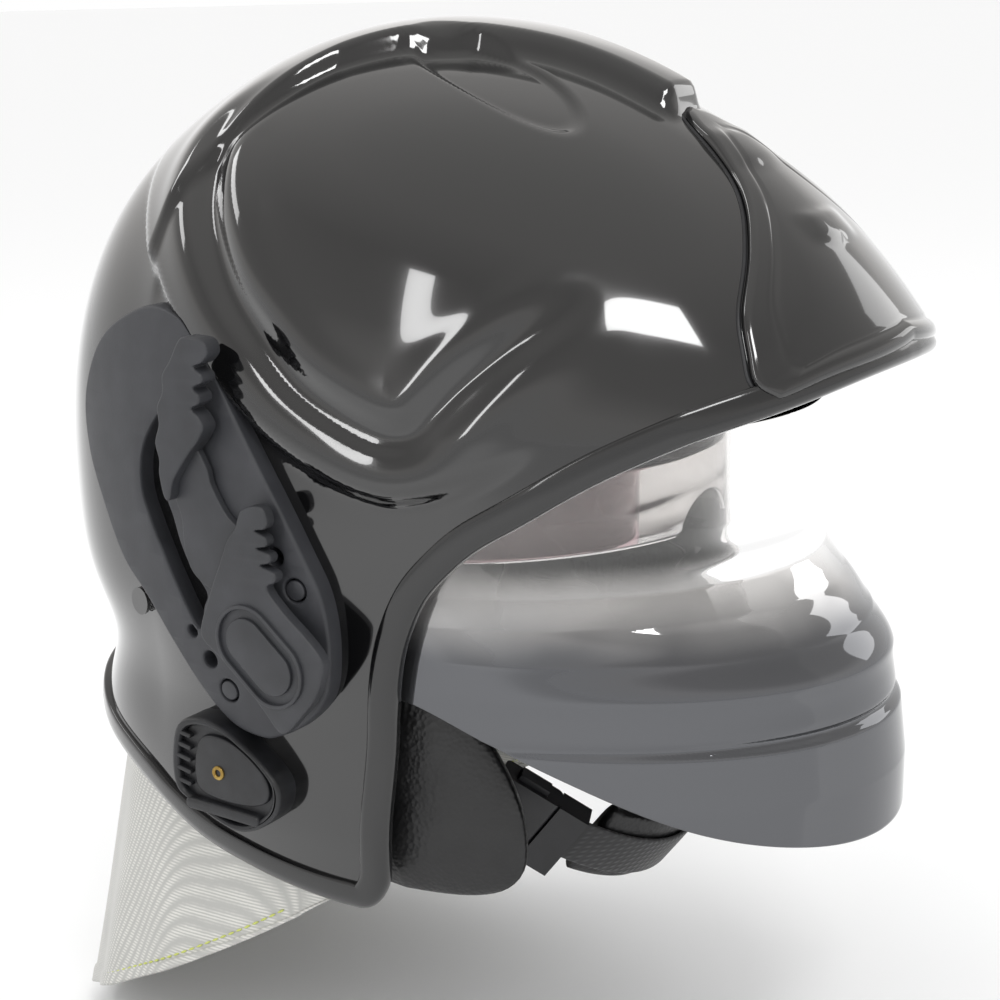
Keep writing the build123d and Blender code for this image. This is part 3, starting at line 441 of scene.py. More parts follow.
materialOf = {
    "shell_gloss": lacquer, "trim_gloss": vinyl, "panel_matte": leverNylon, "shield_mirror": coatedShield,
    "visor_clear": filmVisor, "pin_steel": steel, "washer_white": washerPlastic,
    "bracket_rubber": blackRubber, "screw_brass": brass, "rivet_black": lacquer, "liner_foam": blackFoam,
    "webbing_black": blackWebbing, "leather_black": blackLeather, "band_plastic": bandPlastic,
    "buckle_plastic": bucklePlastic, "button_black": buttonPlastic, "curtain_silver": foilCloth,
    "snap_steel": steel,
}
for name, node in nodes.items():
    material = panelNylon if name.startswith("side_panel") else materialOf[slotOf[name]]
    if not node.data.materials:
        node.data.materials.append(material)
    for slot in node.material_slots:
        slot.material = material
print("materials made")

# Outer shell: the same formula as the solid, with its creases, valley and crest worked finer
shell = {
    "halfWidth": 125.0, "brimReach": 196.0, "backReach": 144.0, "crownHeight": 182.0, "wall": 4.0,
    "widestLevel": 25.0, "brimLevel": 62.0, "jawTuck": 16.0, "jawRun": 140.0, "waist": (-33.0, 23.0, 15.0),
    "frontRound": 1.95, "backRound": 2.15, "sideCrown": (2.3, 0.44), "frontCrown": (1.2, 0.46),
    "backCrown": (2.45, 0.47), "middle": np.array((0.0, -10.0, 20.0)), "rays": (20.0, 340.0),
    "columns": 440, "rows": 230, "turns": (-62.0, 89.6), "lowest": -112.0, "rimGap": 2.5,
}
recess = {"depth": 6.0, "lipLow": 45.0, "lipClimb": 58.0, "lipMiddle": -57.0, "lipRun": 96.0, "lipBend": 1.6,
          "front": -110.0, "back": 100.0, "floor": -85.0, "fade": 45.0, "edge": 8.0}
crest = {"height": 8.6, "overhang": 4.0, "slope": 9.0, "front": -106.0, "back": -15.0, "backRun": 95.0,
         "foot": 90.0, "footRun": 30.0}
hollow = {"middle": (36.0, -50.0), "lean": (0.968, 0.25), "half": (16.0, 41.0), "depth": 2.6, "edge": 0.2,
          "foot": 100.0, "footRun": 20.0}
valley = {"waves": ((0.0, 6.0, -3.4), (13.0, 8.0, 1.5), (-11.0, 6.0, 0.8)), "fades": (0.2, 0.22)}
rimControls = np.array((
    (-1.1, 0.5), (-1.0, 0.45), (-0.95, 0.43), (-0.87, 0.39), (-0.76, 0.343), (-0.63, 0.275), (-0.51, 0.195),
    (-0.43, 0.143), (-0.378, 0.096), (-0.334, 0.044), (-0.304, -0.016), (-0.281, -0.085), (-0.263, -0.187),
    (-0.245, -0.352), (-0.232, -0.478), (-0.219, -0.544), (-0.186, -0.588), (-0.14, -0.593),
    (-0.036, -0.58), (0.077, -0.555), (0.2, -0.519), (0.342, -0.448), (0.49, -0.393), (0.638, -0.346),
    (0.816, -0.319),
)) * (shell["brimReach"], shell["crownHeight"])
rimCurve = smoothCurve(rimControls, 900)
crestEdge = np.array(((-104, 11), (-92, 12), (-77, 12.5), (-61, 14), (-32, 20), (-9, 34), (7, 48), (18, 62),
                      (30, 76), (43, 92), (60, 120)))
valleyCurve = smoothCurve((
    (-56, 14, 169), (-66, 27, 160), (-78, 35, 149), (-96, 29, 132), (-111, 11, 108), (-117, -8, 90),
    (-119.5, -23, 77), (-119, -41, 67), (-117.5, -55, 62), (-115, -65, 63), (-112, -72, 70), (-108, -80, 79),
    (-99, -93, 91.5), (-88, -105, 102), (-75, -115, 112)), 130)


def crownShare(level, start, growth, shares):
    # how far the outline is drawn in above a level
    t = np.clip((level - shell[start]) / (shell["crownHeight"] + growth - shell[start]), 0.0, 1.0)
    power, root = shell[shares]
    return (1 - t ** power) ** root


def sideWidth(level, growth=0.0):
    # half width at a level, drawn in towards the jaw
    low = np.clip((shell["widestLevel"] - level) / shell["jawRun"], 0.0, 1.5)
    crown = crownShare(level, "widestLevel", growth, "sideCrown")
    return (shell["halfWidth"] + growth) * crown - shell["jawTuck"] * low ** 1.6


def rearReach(level, growth=0.0):
    # reach backward at a level, drawn in at the waist
    crown = crownShare(level, "widestLevel", growth, "backCrown")
    return (shell["backReach"] + growth) * crown - waves(level, (shell["waist"],))


def roundness(front):
    return np.where(front, shell["frontRound"], shell["backRound"])


def recessShare(y, z):
    # 1 where the side is drawn in under the lip, 0 outside it
    lip = recess["lipLow"] + recess["lipClimb"] * (
        np.abs((y - recess["lipMiddle"]) / recess["lipRun"]) ** recess["lipBend"])
    return (rise((lip - z) / recess["edge"]) * rise((y - recess["front"]) / recess["fade"])
            * rise((recess["back"] - y) / recess["fade"]) * rise((z - recess["floor"]) / recess["fade"]))


def shellValue(x, y, z, growth):
    # below 1 inside the shell's face, above 1 outside it
    top = shell["crownHeight"] + growth
    level = np.minimum(z, top - 1e-6)
    front = (shell["brimReach"] + growth) * crownShare(level, "brimLevel", growth, "frontCrown")
    reach = np.where(y < 0, front, rearReach(level, growth))
    shape = roundness(y < 0)
    yShare = (np.abs(y) / np.maximum(reach, 1e-3)) ** shape
    side = np.clip(1 - yShare, 0.0, 1.0)
    reachX = np.abs(x) + recess["depth"] * recessShare(y, z) * side ** 0.25
    value = (reachX / np.maximum(sideWidth(level, growth), 1e-3)) ** shape + yShare
    return np.where(z >= top, 9.0, value)


def shootRays(directions, growth):
    # where rays from the shell's middle meet its face
    def places(distance):
        return shell["middle"] + directions * np.asarray(distance)[..., None]

    def outside(distance):
        return shellValue(*np.moveaxis(places(distance), -1, 0), growth) > 1

    return places(leavesAt(outside, *shell["rays"]))


def sideReach(y, z):
    # distance out to the shell's side at places in side view, 0 where there is none
    return leavesAt(lambda x: shellValue(x, y, z, 0.0) > 1, 0.0, 200.0)


def frontFace(flat):
    # places in front view carried to the shell's front
    x, z = flat.T
    return np.stack([x, -leavesAt(lambda y: shellValue(x, -y, z, 0.0) > 1, 0.0, 260.0), z], axis=1)


def sideFace(y, z, growth, depth):
    # distance out to the shell's side by its formula, with a recess of the given depth
    reach = np.where(y < 0, shell["brimReach"], shell["backReach"])
    shape = roundness(y < 0)
    return sideWidth(z, growth) * (1 - np.abs(y / reach) ** shape) ** (1 / shape) - depth * recessShare(y, z)


def faceNormals(points):
    slopes = [shellValue(*(points + step).T, 0.0) - shellValue(*(points - step).T, 0.0)
              for step in np.eye(3) * 0.4]
    return unit(np.stack(slopes, axis=1))


def aboveRim(y, z):
    # signed distance in side view to the shell's lower edge, positive on the shell's side
    distance, along, gap, _ = nearestOn(rimCurve[::3], np.stack([y.ravel(), z.ravel()], axis=1))
    return (distance * np.sign(along[:, 0] * gap[:, 1] - along[:, 1] * gap[:, 0])).reshape(y.shape)


def relief(points, normals):
    # height of the crest, the hollow on each side of it and the valley over the levers
    x, y, z = points[..., 0], points[..., 1], points[..., 2]
    edge = np.interp(y, crestEdge[:, 0], crestEdge[:, 1])
    height = crest["height"] * (
        rise((edge + crest["overhang"] - np.abs(x)) / crest["slope"])
        * rise((y - crest["front"]) / crest["slope"]) * (1 - rise((y - crest["back"]) / crest["backRun"]))
        * rise((z - crest["foot"]) / crest["footRun"]))
    across, back = np.abs(x) - hollow["middle"][0], y - hollow["middle"][1]
    straight, leaning = hollow["lean"]
    lens = np.hypot((across * straight + back * leaning) / hollow["half"][0],
                    (back * straight - across * leaning) / hollow["half"][1])
    height = height - hollow["depth"] * (rise((1 - lens) / hollow["edge"])
                                         * rise((z - hollow["foot"]) / hollow["footRun"]))
    flat = np.stack([-np.abs(x).ravel(), y.ravel(), z.ravel()], axis=1)
    bent = normals.reshape(-1, 3) * np.stack([-np.sign(x).ravel(), np.ones(x.size), np.ones(x.size)], axis=1)
    distance, along, gap, walk = nearestOn(valleyCurve, flat)
    signed = np.where(np.einsum("ij,ij->i", np.cross(bent, along), gap) > 0, -distance, distance)
    fade = rise(walk / valley["fades"][0]) * rise((1 - walk) / valley["fades"][1])
    return height + (waves(signed, valley["waves"]) * fade).reshape(x.shape)


azimuths = np.radians(np.linspace(-180, 180, shell["columns"], endpoint=False))
climbs = np.radians(np.linspace(*shell["turns"], shell["rows"]))
climbGrid, azimuthGrid = np.meshgrid(climbs, azimuths, indexing="ij")
directions = np.stack([np.cos(climbGrid) * np.sin(azimuthGrid), -np.cos(climbGrid) * np.cos(azimuthGrid),
                       np.sin(climbGrid)], axis=-1)
outerGrid = shootRays(directions, 0.0)
innerGrid = shootRays(directions, -shell["wall"])
outerNormals = gridNormals(np.concatenate([outerGrid[:, -1:], outerGrid, outerGrid[:, :1]], axis=1))[:, 1:-1]
outerNormals = outerNormals * np.sign(np.sum(outerNormals * directions, axis=-1, keepdims=True))
outerGrid = outerGrid + outerNormals * relief(outerGrid, outerNormals)[..., None]
y, z = outerGrid[..., 1], outerGrid[..., 2]
kept = ((aboveRim(y, z) > shell["rimGap"]) & (z > shell["lowest"])).ravel().tolist()
count = len(kept)
shellFaces = [face for face in gridFaces(shell["rows"], shell["columns"], wrapColumns=True)
              if all(kept[index] for index in face)]
shellFaces.append(tuple(range(count - shell["columns"], count)))
edges = [edge for face in shellFaces for edge in zip(face, face[1:] + face[:1])]
known = set(edges)
allFaces = shellFaces + [tuple(index + count for index in face[::-1]) for face in shellFaces]
allFaces += [(there, here, here + count, there + count) for here, there in edges if (there, here) not in known]
used = sorted({index for face in allFaces for index in face})
renumber = {old: new for new, old in enumerate(used)}
shellPoints = np.concatenate([outerGrid.reshape(-1, 3), innerGrid.reshape(-1, 3)])[used]
allFaces = [tuple(renumber[index] for index in face) for face in allFaces]
makePiece("shell", (shellPoints, allFaces), lacquer, "outer_shell")
print("shell made")

# Edge trim: a rounded channel carried round the shell's lower edge
trim = {"steps": 300, "profile": (
    (10.0, 0.3), (10.0, 1.0), (9.4, 1.5), (8.0, 1.7), (4.5, 1.9), (1.8, 1.6), (0.5, 0.8), (-0.2, -0.6),
    (-0.4, -2.0), (-0.2, -3.4), (0.5, -4.8), (1.8, -5.5), (4.5, -5.7), (9.2, -5.3), (10.0, -4.6), (10.0, -3.7))}
edgeX = sideReach(rimCurve[:, 0], rimCurve[:, 1])
onShell = np.flatnonzero(edgeX > 0.5)
edgeLine = np.stack([edgeX[onShell], rimCurve[onShell, 0], rimCurve[onShell, 1]], axis=1)
edgeLine = np.vstack([edgeLine[:1] * (0, 1, 1), edgeLine, edgeLine[-1:] * (0, 1, 1)])
leftEdge = evenSteps(edgeLine, trim["steps"])
rimLoop = np.vstack([leftEdge, leftEdge[-2:0:-1] * (-1, 1, 1)])
rimNormals = smoothLoop(faceNormals(rimLoop))
rimInward = unit(np.cross(rimNormals, smoothLoop(loopSteps(rimLoop))))
makePiece("edgeTrim", sweep(rimLoop, rimInward, rimNormals, trim["profile"], closed=True), vinyl, "edge_trim")
print("trim made")

# Front plate: a gloss plate proud of the brow, with a bead on its lower edge and two low swellings
plate = {"proud": 3.0, "sink": 1.5, "bevel": 1.2, "count": 300, "rings": 44, "middle": np.array((0.0, 114.0)),
         "groove": (0.84, 0.022, 0.45), "bead": (3.0, 2.2, 1.6), "beadEnd": 75.0, "swelling": 1.5,
         "swellings": ((143.5, 5.5), (118.5, 4.5)), "swellingWidth": 13.0, "seal": 1.6, "sealHeight": 0.55}
plateSide = smoothCurve(((0, 156.9), (8, 152.9), (22, 133.4), (39, 115.9), (54, 99), (60.5, 85), (62.3, 77),
                         (58.8, 72.6)), 120)
plateLip = smoothCurve(((58.8, 72.6), (37.5, 78.3), (0, 82.8)), 60)
halfLoop = np.vstack([plateSide, plateLip[1:]])
plateLoop = evenSteps(np.vstack([halfLoop, halfLoop[-2::-1] * (-1, 1)]), plate["count"] + 1)[:-1]
loopAlong = unit(loopSteps(plateLoop, 2))
loopIn = np.stack([loopAlong[:, 1], -loopAlong[:, 0]], axis=1)
loopIn = loopIn * np.sign(np.sum(loopIn * (plate["middle"] - plateLoop), axis=1, keepdims=True))
plateRings = [(plateLoop, -plate["sink"]), (plateLoop, plate["proud"] - plate["bevel"]),
              (plateLoop + loopIn * plate["bevel"] * 0.35, plate["proud"] - plate["bevel"] * 0.3)]
for scale in np.linspace(1, 0, plate["rings"], endpoint=False):
    ring = plate["middle"] + (plateLoop + loopIn * plate["bevel"] - plate["middle"]) * scale
    plateRings.append((ring, plate["proud"] - waves(scale, (plate["groove"],))))
platePoints = []
for ring, height in plateRings:
    x, z = ring.T
    aboveLip = z - np.interp(np.abs(x), plateLip[::-1, 0], plateLip[::-1, 1])
    bead = waves(aboveLip, (plate["bead"],)) * (1 - np.abs(x) / plate["beadEnd"])
    swellings = sum(np.exp(-((x / plate["swellingWidth"]) ** 4 + ((z - level) / long) ** 4))
                    for level, long in plate["swellings"])
    base = frontFace(ring)
    raised = height + (bead + plate["swelling"] * swellings) * (height > 0)
    platePoints.append(base + faceNormals(base) * raised[:, None])
tip = len(platePoints) * plate["count"]
last = tip - plate["count"]
plateFaces = gridFaces(len(platePoints), plate["count"], wrapColumns=True)
plateFaces += [(last + index, last + (index + 1) % plate["count"], tip) for index in range(plate["count"])]
middlePoint = frontFace(plate["middle"][None])
tipPoint = middlePoint + faceNormals(middlePoint) * (plate["proud"] + plate["swelling"] * 0.55)
makePiece("frontPlate", (np.vstack([*platePoints, tipPoint]), plateFaces), lacquer, "front_plate")
sealLine = frontFace(plateLoop - loopIn * plate["seal"] * 0.4)
sealOut = faceNormals(sealLine)
sealProfile = roundedProfile(plate["seal"] / 2, plate["sealHeight"], 10)
sealIn = np.cross(sealOut, unit(loopSteps(sealLine)))
makePiece("plateSeal", sweep(sealLine, sealIn, sealOut, sealProfile, closed=True), blackRubber,
          slot="trim_gloss")
print("front plate made")

# Side panels, levers and lamp brackets: plates cut to their photographed outlines, with rounded edges
lever = {"panelProud": 1.0, "plugProud": 0.9, "discStart": 126.4, "discEnd": 129.0, "gripEnd": 133.4,
         "leverStart": 129.2, "leverEnd": 133.4, "bossEnd": 134.9, "bossMiddle": (-14.0, -12.6),
         "bossTilt": 41.0, "sink": 0.4, "sharpFrom": 34.0,
         "plugs": ((-22.8, 8.8), (10.3, -31.9)), "plugRadius": 3.5, "plugHole": 4.1,
         "holes": ((17.4, -21.6, 3.0), (24.6, -12.4, 2.2), (-15.7, 19.6, 3.2))}


def levels(low, high):
    return lambda y, z, share: low + (high - low) * share


def fromShell(high):
    # from the recessed shell up to a level, or to a growth of the face without its recess
    def place(y, z, share):
        seat = sideFace(y, z, 0.0, recess["depth"]) - lever["sink"]
        top = sideFace(y, z, high, 0.0) if high < 20 else np.maximum(high, seat + 1.0)
        return seat + (top - seat) * share
    return place


def cutPlate(name, loops, place, thick, bevel, material=leverNylon, body="helmet", replaced=(),
             slot="panel_matte", step=0.0):
    # one outer loop and its holes, in side view, made into a plate with a rounded outer edge on both sides
    points, shares, faces, start = [], [], [], 0
    caps = ([], [])
    rows = ((0.0, 0.0), (0.0, 1.0), (0.12, 0.5), (0.45, 0.15), (1.0, 0.0))
    for number, loop in enumerate(loops):
        area = np.sum(loop[:, 0] * np.roll(loop[:, 1], -1) - np.roll(loop[:, 0], -1) * loop[:, 1])
        along = unit(loopSteps(loop))
        into = np.stack([-along[:, 1], along[:, 0]], axis=1) * np.sign(area) * (1 if number == 0 else -1)
        for row, (inset, drop) in enumerate(rows):
            points.append(loop + into * bevel * inset)
            shares.append(np.full(len(loop), 1 - drop * bevel / thick if row else 0.0))
        faces += gridFaces(len(rows), len(loop), start, wrapColumns=True)
        caps[1].append((start, loop))
        start += len(rows) * len(loop)
        caps[0].append((start - len(loop), loop + into * bevel))
    for cap in caps:
        numbers = [base + index for base, loop in cap for index in range(len(loop))]
        flat = [[Vector((y, z, 0)) for y, z in loop] for base, loop in cap]
        faces += [tuple(numbers[index] for index in face) for face in tessellate_polygon(flat)]
    points, shares = np.vstack(points), np.concatenate(shares)
    work, known = bmesh.new(), set()
    corners = [work.verts.new((y, z, share)) for (y, z), share in zip(points, shares)]
    for face in faces:
        if len(set(face)) == len(face) and frozenset(face) not in known:
            known.add(frozenset(face))
            work.faces.new([corners[index] for index in face])
    for axis, normal in enumerate(((1, 0, 0), (0, 1, 0)) if step else ()):
        for at in np.arange(points[:, axis].min() + step, points[:, axis].max(), step):
            bmesh.ops.bisect_plane(work, geom=work.verts[:] + work.edges[:] + work.faces[:], dist=1e-4,
                                   plane_co=(at, at, 0), plane_no=normal)
    bmesh.ops.recalc_face_normals(work, faces=work.faces[:])
    flat = np.array([corner.co[:] for corner in work.verts])
    work.verts.index_update()
    meshFaces = [[corner.index for corner in face.verts] for face in work.faces]
    work.free()
    outward = place(*flat.T)
    for side, suffix in ((-1, "Right"), (1, "Left")):
        solid = np.stack([side * outward, flat[:, 0], flat[:, 1]], axis=1)
        turned = meshFaces if side > 0 else [face[::-1] for face in meshFaces]
        names = [node + suffix.lower() if node.endswith("_") else node for node in replaced]
        if side > 0:
            names = [node for node in names if node.endswith("left")]
        piece = makePiece(name + suffix, (solid, turned), material, *names, body=body, slot=slot)
        piece.data.set_sharp_from_angle(angle=math.radians(lever["sharpFrom"]))


def disc(middle, radius, count):
    turns = np.linspace(0, 2 * math.pi, count, endpoint=False)
    return np.stack([middle[0] + radius * np.cos(turns), middle[1] + radius * np.sin(turns)], axis=1)


def stadium(middle, long, wide, tilt):
    turns = np.linspace(0, 2 * math.pi, 80, endpoint=False)
    u = np.cos(turns) * wide / 2 + (long - wide) / 2 * np.sign(np.cos(turns))
    v = np.sin(turns) * wide / 2
    c, s = math.cos(math.radians(tilt)), math.sin(math.radians(tilt))
    return np.stack([middle[0] + u * c - v * s, middle[1] + u * s + v * c], axis=1)


panelShares = (
    (0.17, 0.5), (0.05, 0.49), (-0.03, 0.45), (-0.17, 0.33), (-0.34, 0.12), (-0.44, -0.03), (-0.49, -0.13),
    (-0.5, -0.25), (-0.47, -0.37), (-0.38, -0.45), (-0.29, -0.49), (-0.23, -0.5), (-0.13, -0.48),
    (-0.03, -0.41), (0.08, -0.3), (0.18, -0.2), (0.29, -0.12), (0.39, 0.01), (0.47, 0.12), (0.5, 0.24),
    (0.44, 0.36), (0.34, 0.44))
panelLoop = closedCurve([(26 + 120 * y, 25 + 145 * z) for y, z in panelShares], 260)
slotLoop = closedCurve((
    (33, 63.6), (40.8, 55.5), (44.9, 46.3), (45.1, 35), (41.1, 25.3), (36.2, 15.7), (31.3, 6.1),
    (21.4, -10.5), (17.6, -2.3), (15.6, 3.1), (22, 11), (26, 19), (29, 28), (33, 37), (35.3, 49.8)), 150)
gripLoop = closedCurve((
    (13, 91.5), (8.6, 92.2), (3, 91.4), (1.4, 87.6), (4.1, 84.3), (7.6, 82.6), (4.6, 80.4), (4.4, 77.8),
    (8.4, 75.6), (6.2, 73.4), (6.3, 70.6), (9.6, 68.6), (7, 66.2), (5.2, 62.4), (8.2, 57.4), (12.3, 53),
    (19.4, 43.6), (21.6, 36.8), (24, 37.4), (25.6, 45), (25.2, 50), (26.4, 56), (24.4, 62), (24.6, 68),
    (22, 73), (21.4, 79), (17.8, 84)), 260)
discLoop = closedCurve((
    (15, 56), (8.6, 48.5), (6.6, 42), (1, 33), (-6, 27), (-11, 17), (-5, 7), (3, 4.6), (9.3, 6), (16.9, 11),
    (20.1, 19.3), (20.6, 29.4), (23, 37), (24, 46)), 160)
leverLoop = closedCurve((
    (-9.1, 36.6), (-17, 38.6), (-19.6, 34.5), (-18.4, 31.2), (-14.4, 30.2), (-18.6, 28.4), (-18.6, 25.4),
    (-14.6, 24.2), (-19.8, 22.9), (-19.8, 20), (-15.8, 18.6), (-21.4, 16.8), (-21.4, 13.6), (-18, 11),
    (-24.1, 4), (-33, -3.4), (-38.6, -9.2), (-39.6, -13.6), (-36.2, -23), (-29, -32), (-21.3, -38.6),
    (-14, -32), (-7.1, -24.5), (4, -15.6), (11.5, -8.5), (7, 5), (1.6, 17), (-2.6, 26), (-6, 30)), 280)
holes = [disc((y, z), radius, 28) for y, z, radius in lever["holes"]]
holes += [disc(place, lever["plugHole"], 36) for place in lever["plugs"]]
cutPlate("sidePanel", [panelLoop, slotLoop] + holes, fromShell(lever["panelProud"]), 6.0, 1.1, panelNylon,
         replaced=("side_panel_", "panel_plugs"), step=7.0)
for letter, place in zip("AB", lever["plugs"]):
    plug = disc(place, lever["plugRadius"], 36)
    cutPlate("panelPlug" + letter, [plug], fromShell(lever["plugProud"]), 6.0, 0.5)
cutPlate("upperDisc", [discLoop], levels(lever["discStart"], lever["discEnd"]), 2.6, 0.6, body="visor")
cutPlate("upperGrip", [gripLoop], levels(lever["discStart"], lever["gripEnd"]), 7.0, 1.0, body="visor",
         replaced=("upper_lever_",))
cutPlate("lowerLever", [leverLoop], levels(lever["leverStart"], lever["leverEnd"]), 4.2, 0.9, body="shield",
         replaced=("lower_lever_",))
for name, sizes in (("bossRing", ((39.0, 25.0), (36.4, 22.4))), ("boss", ((30.0, 16.0),))):
    rings = [stadium(lever["bossMiddle"], long, wide, lever["bossTilt"]) for long, wide in sizes]
    cutPlate(name, rings, levels(lever["leverEnd"] - 0.5, lever["bossEnd"]), 2.0, 0.5, body="shield")

bracket = {"end": 124.0, "floor": 121.4, "middle": np.array((13.5, -63.5)), "rim": 0.13,
           "screw": (16, -62.5), "ribAt": (31.2, -50.6), "ribStep": (0.25, -4.5), "ribSize": (6.6, 1.7, 12)}
bracketLoop = closedCurve(((34, -48), (26, -44), (15, -45), (4, -50.5), (-5, -57), (-10.5, -64), (-9, -73),
                           (-1, -80), (9, -83), (20, -80), (30, -75.5), (36, -71), (37, -60)), 150)
faceLoop = closedCurve(((22, -50), (12, -50), (2, -55), (-5, -62), (-5, -69), (2, -72.5), (14, -73),
                        (24, -71), (27, -66), (26, -56)), 100)
bracketInside = bracketLoop + (bracket["middle"] - bracketLoop) * bracket["rim"]


def bracketPart(name, loops, place, thick, bevel, replaced=(), step=0.0):
    cutPlate(name, loops, place, thick, bevel, blackRubber, replaced=replaced, slot="bracket_rubber", step=step)


def fromFloor(proud):
    return levels(bracket["floor"] - 1, bracket["end"] + proud)


bracketPart("bracketRim", [bracketLoop, bracketInside], fromShell(bracket["end"]), 8.0, 1.3,
            ("lamp_bracket_", "bracket_screws"), 9.0)
bracketPart("bracketFloor", [bracketInside], fromShell(bracket["floor"]), 6.0, 0.2, step=9.0)
bracketPart("bracketFace", [faceLoop], fromFloor(-0.6), 3.0, 0.9)
for number, letter in enumerate("ABCDE"):
    ribMiddle = [at + step * number for at, step in zip(bracket["ribAt"], bracket["ribStep"])]
    bracketPart("bracketRib" + letter, [stadium(ribMiddle, *bracket["ribSize"])], fromFloor(-0.3), 3.0, 0.5)
bracketPart("bracketClip", [stadium((15, -76.6), 33, 4.4, 3)], fromFloor(0.6), 3.4, 1.2)
cutPlate("bracketScrew", [disc(bracket["screw"], 2.6, 32), disc(bracket["screw"], 1.2, 18)],
         levels(bracket["floor"], bracket["end"] + 0.2), 2.4, 0.5, brass, slot="screw_brass")
print("side panels, levers and brackets made")

# Face shield: clear above its crease and mirror coated below, with ribs and a stepped lower band
shield = {"pivot": (-12.0, -14.0), "halfWidth": 106.5, "wall": 2.5, "reach": 168.0, "drop": 84.0,
          "hub": 14.0, "hubShare": 0.985, "hubReach": 0.86, "crowding": 0.35, "columns": 300, "rows": 230,
          "ribs": ((-7.0, 5.0, 1.4), (-17.0, 4.5, -1.5), (-27.0, 5.0, 1.3), (13.0, 4.0, 0.9)),
          "seam": (-45.0, 1.5, -1.7), "band": (-46.0, 2.4, 1.4)}
shieldShares = np.array(((-1.2, 0.995), (-0.8, 1.0), (-0.52, 0.985), (-0.34, 0.97), (-0.2, 0.935),
                         (-0.06, 0.85), (0.06, 0.81), (0.3, 0.812), (0.8, 0.805)))
shieldTop = smoothCurve((
    (2, -14), (-2, -4.5), (-12, 0), (-28, 5), (-45.4, 13.9), (-62, 27), (-77.3, 40), (-92, 48.5),
    (-104.2, 53.9), (-118, 57), (-130.2, 58), (-165, 58), (-200, 58)), 300)
shieldBottom = smoothCurve((
    (2, -14), (-2, -23.5), (-12, -28), (-30, -29.5), (-52.1, -31.9), (-77.3, -42.8), (-102.5, -54.6),
    (-141.1, -73.1), (-171.4, -84), (-200, -92)), 300)


def shieldPoint(turn, level, growth=0.0):
    reach = np.interp(level / shield["drop"], shieldShares[:, 0], shieldShares[:, 1]) * shield["reach"]
    start, run, height = shield["band"]
    seam = waves(level, (shield["seam"],)) + height * rise((start - level) / run)
    ribs = waves(level, shield["ribs"]) * rise((np.sin(turn) - 0.25) / 0.5)
    reach = reach + growth + ribs + seam * rise((np.sin(turn) - 0.05) / 0.2)
    return np.stack([(shield["halfWidth"] + growth) * np.cos(turn),
                     shield["pivot"][0] - reach * np.sin(turn), level], axis=-1)


hubTurn = math.asin(shield["hub"] * shield["hubShare"] / (shield["hubReach"] * shield["reach"]))
turns = np.linspace(-hubTurn, math.pi + hubTurn, shield["columns"])
turns = turns - shield["crowding"] * np.sin(2 * turns) / 2
turnGrid, shareGrid = np.meshgrid(turns, np.linspace(0, 1, shield["rows"]))
levelGrid = np.full_like(turnGrid, shield["pivot"][1])
for _ in range(30):
    wanted = betweenEdges(shieldPoint(turnGrid, levelGrid)[..., 1], shareGrid, shieldBottom, shieldTop)
    levelGrid = 0.5 * levelGrid + 0.5 * wanted
shieldFaces = [shieldPoint(turnGrid, levelGrid, growth) for growth in (0.0, -shield["wall"])]
makePiece("faceShield", thickGrid(*shieldFaces), coatedShield, "face_shield", body="shield")
print("shield made")

# Ocular visor: a clear band with a notch for the nose
visor = {"pivot": 2.0, "halfWidth": 100.8, "wall": 2.2, "reach": 114.0, "bottom": 12.0, "hub": 11.0,
         "nose": 19.0, "columns": 220, "rows": 24}
visorTop = smoothCurve(((13, 24), (10, 32), (2, 35), (-15, 36), (-34, 38), (-68, 40), (-130, 40)), 200)
visorBottom = smoothCurve(((13, 24), (10, 16), (2, 13), (-15, 12.6), (-34, 12), (-68, 12), (-130, 12)), 200)
visorTurn = math.asin(visor["hub"] * 0.98 / visor["reach"])
turns = np.linspace(-visorTurn, math.pi + visorTurn, visor["columns"])
turnGrid, shareGrid = np.meshgrid(turns, np.linspace(0, 1, visor["rows"]))


def visorPlace(turn, growth=0.0):
    y = visor["pivot"] - (visor["reach"] + growth) * np.sin(turn)
    return (visor["halfWidth"] + growth) * np.cos(turn), y


visorX, visorY = visorPlace(turnGrid)
noseTop = visor["bottom"] - visor["nose"] / 3 + np.sqrt(np.maximum(visor["nose"] ** 2 - visorX ** 2, 0))
noseRoom = np.where((np.abs(visorX) < visor["nose"]) & (visorY < 0), noseTop, -1e3)
levelGrid = betweenEdges(visorY, shareGrid, visorBottom, visorTop, noseRoom)
visorFaces = [np.stack([*visorPlace(turnGrid, growth), levelGrid], axis=-1) for growth in (0.0, -visor["wall"])]
makePiece("ocularVisor", thickGrid(*visorFaces), filmVisor, "ocular_visor", body="visor")
print("visor made")

# Curtain: aluminised cloth hung from the shell's rear edge, with a turned hem and its stitching
curtain = {"thickness": 1.8, "inset": 9.2, "tuck": 9.0, "drop": 138.0, "flare": 30.0, "fold": 1.8, "folds": 9,
           "front": 6.0, "dropShare": 0.87, "start": -0.075, "jawBack": -35.0, "columns": 560, "rows": 110,
           "sag": 1.1, "hemStart": 0.945, "hemRun": 0.012, "hemSwell": 0.9,
           "stitch": (3.0, 1.2, 0.42), "stitchUp": 5.0, "stitchLift": 0.25}
rearRim = rimControls[rimControls[:, 0] > curtain["jawBack"]]
hemCurve = smoothCurve(((-23.9, -107.9), (-15.1, -111), (15.1, -129.9), (48, -148), (95.1, -172),
                        (141.9, -196), (175, -206)), 200)


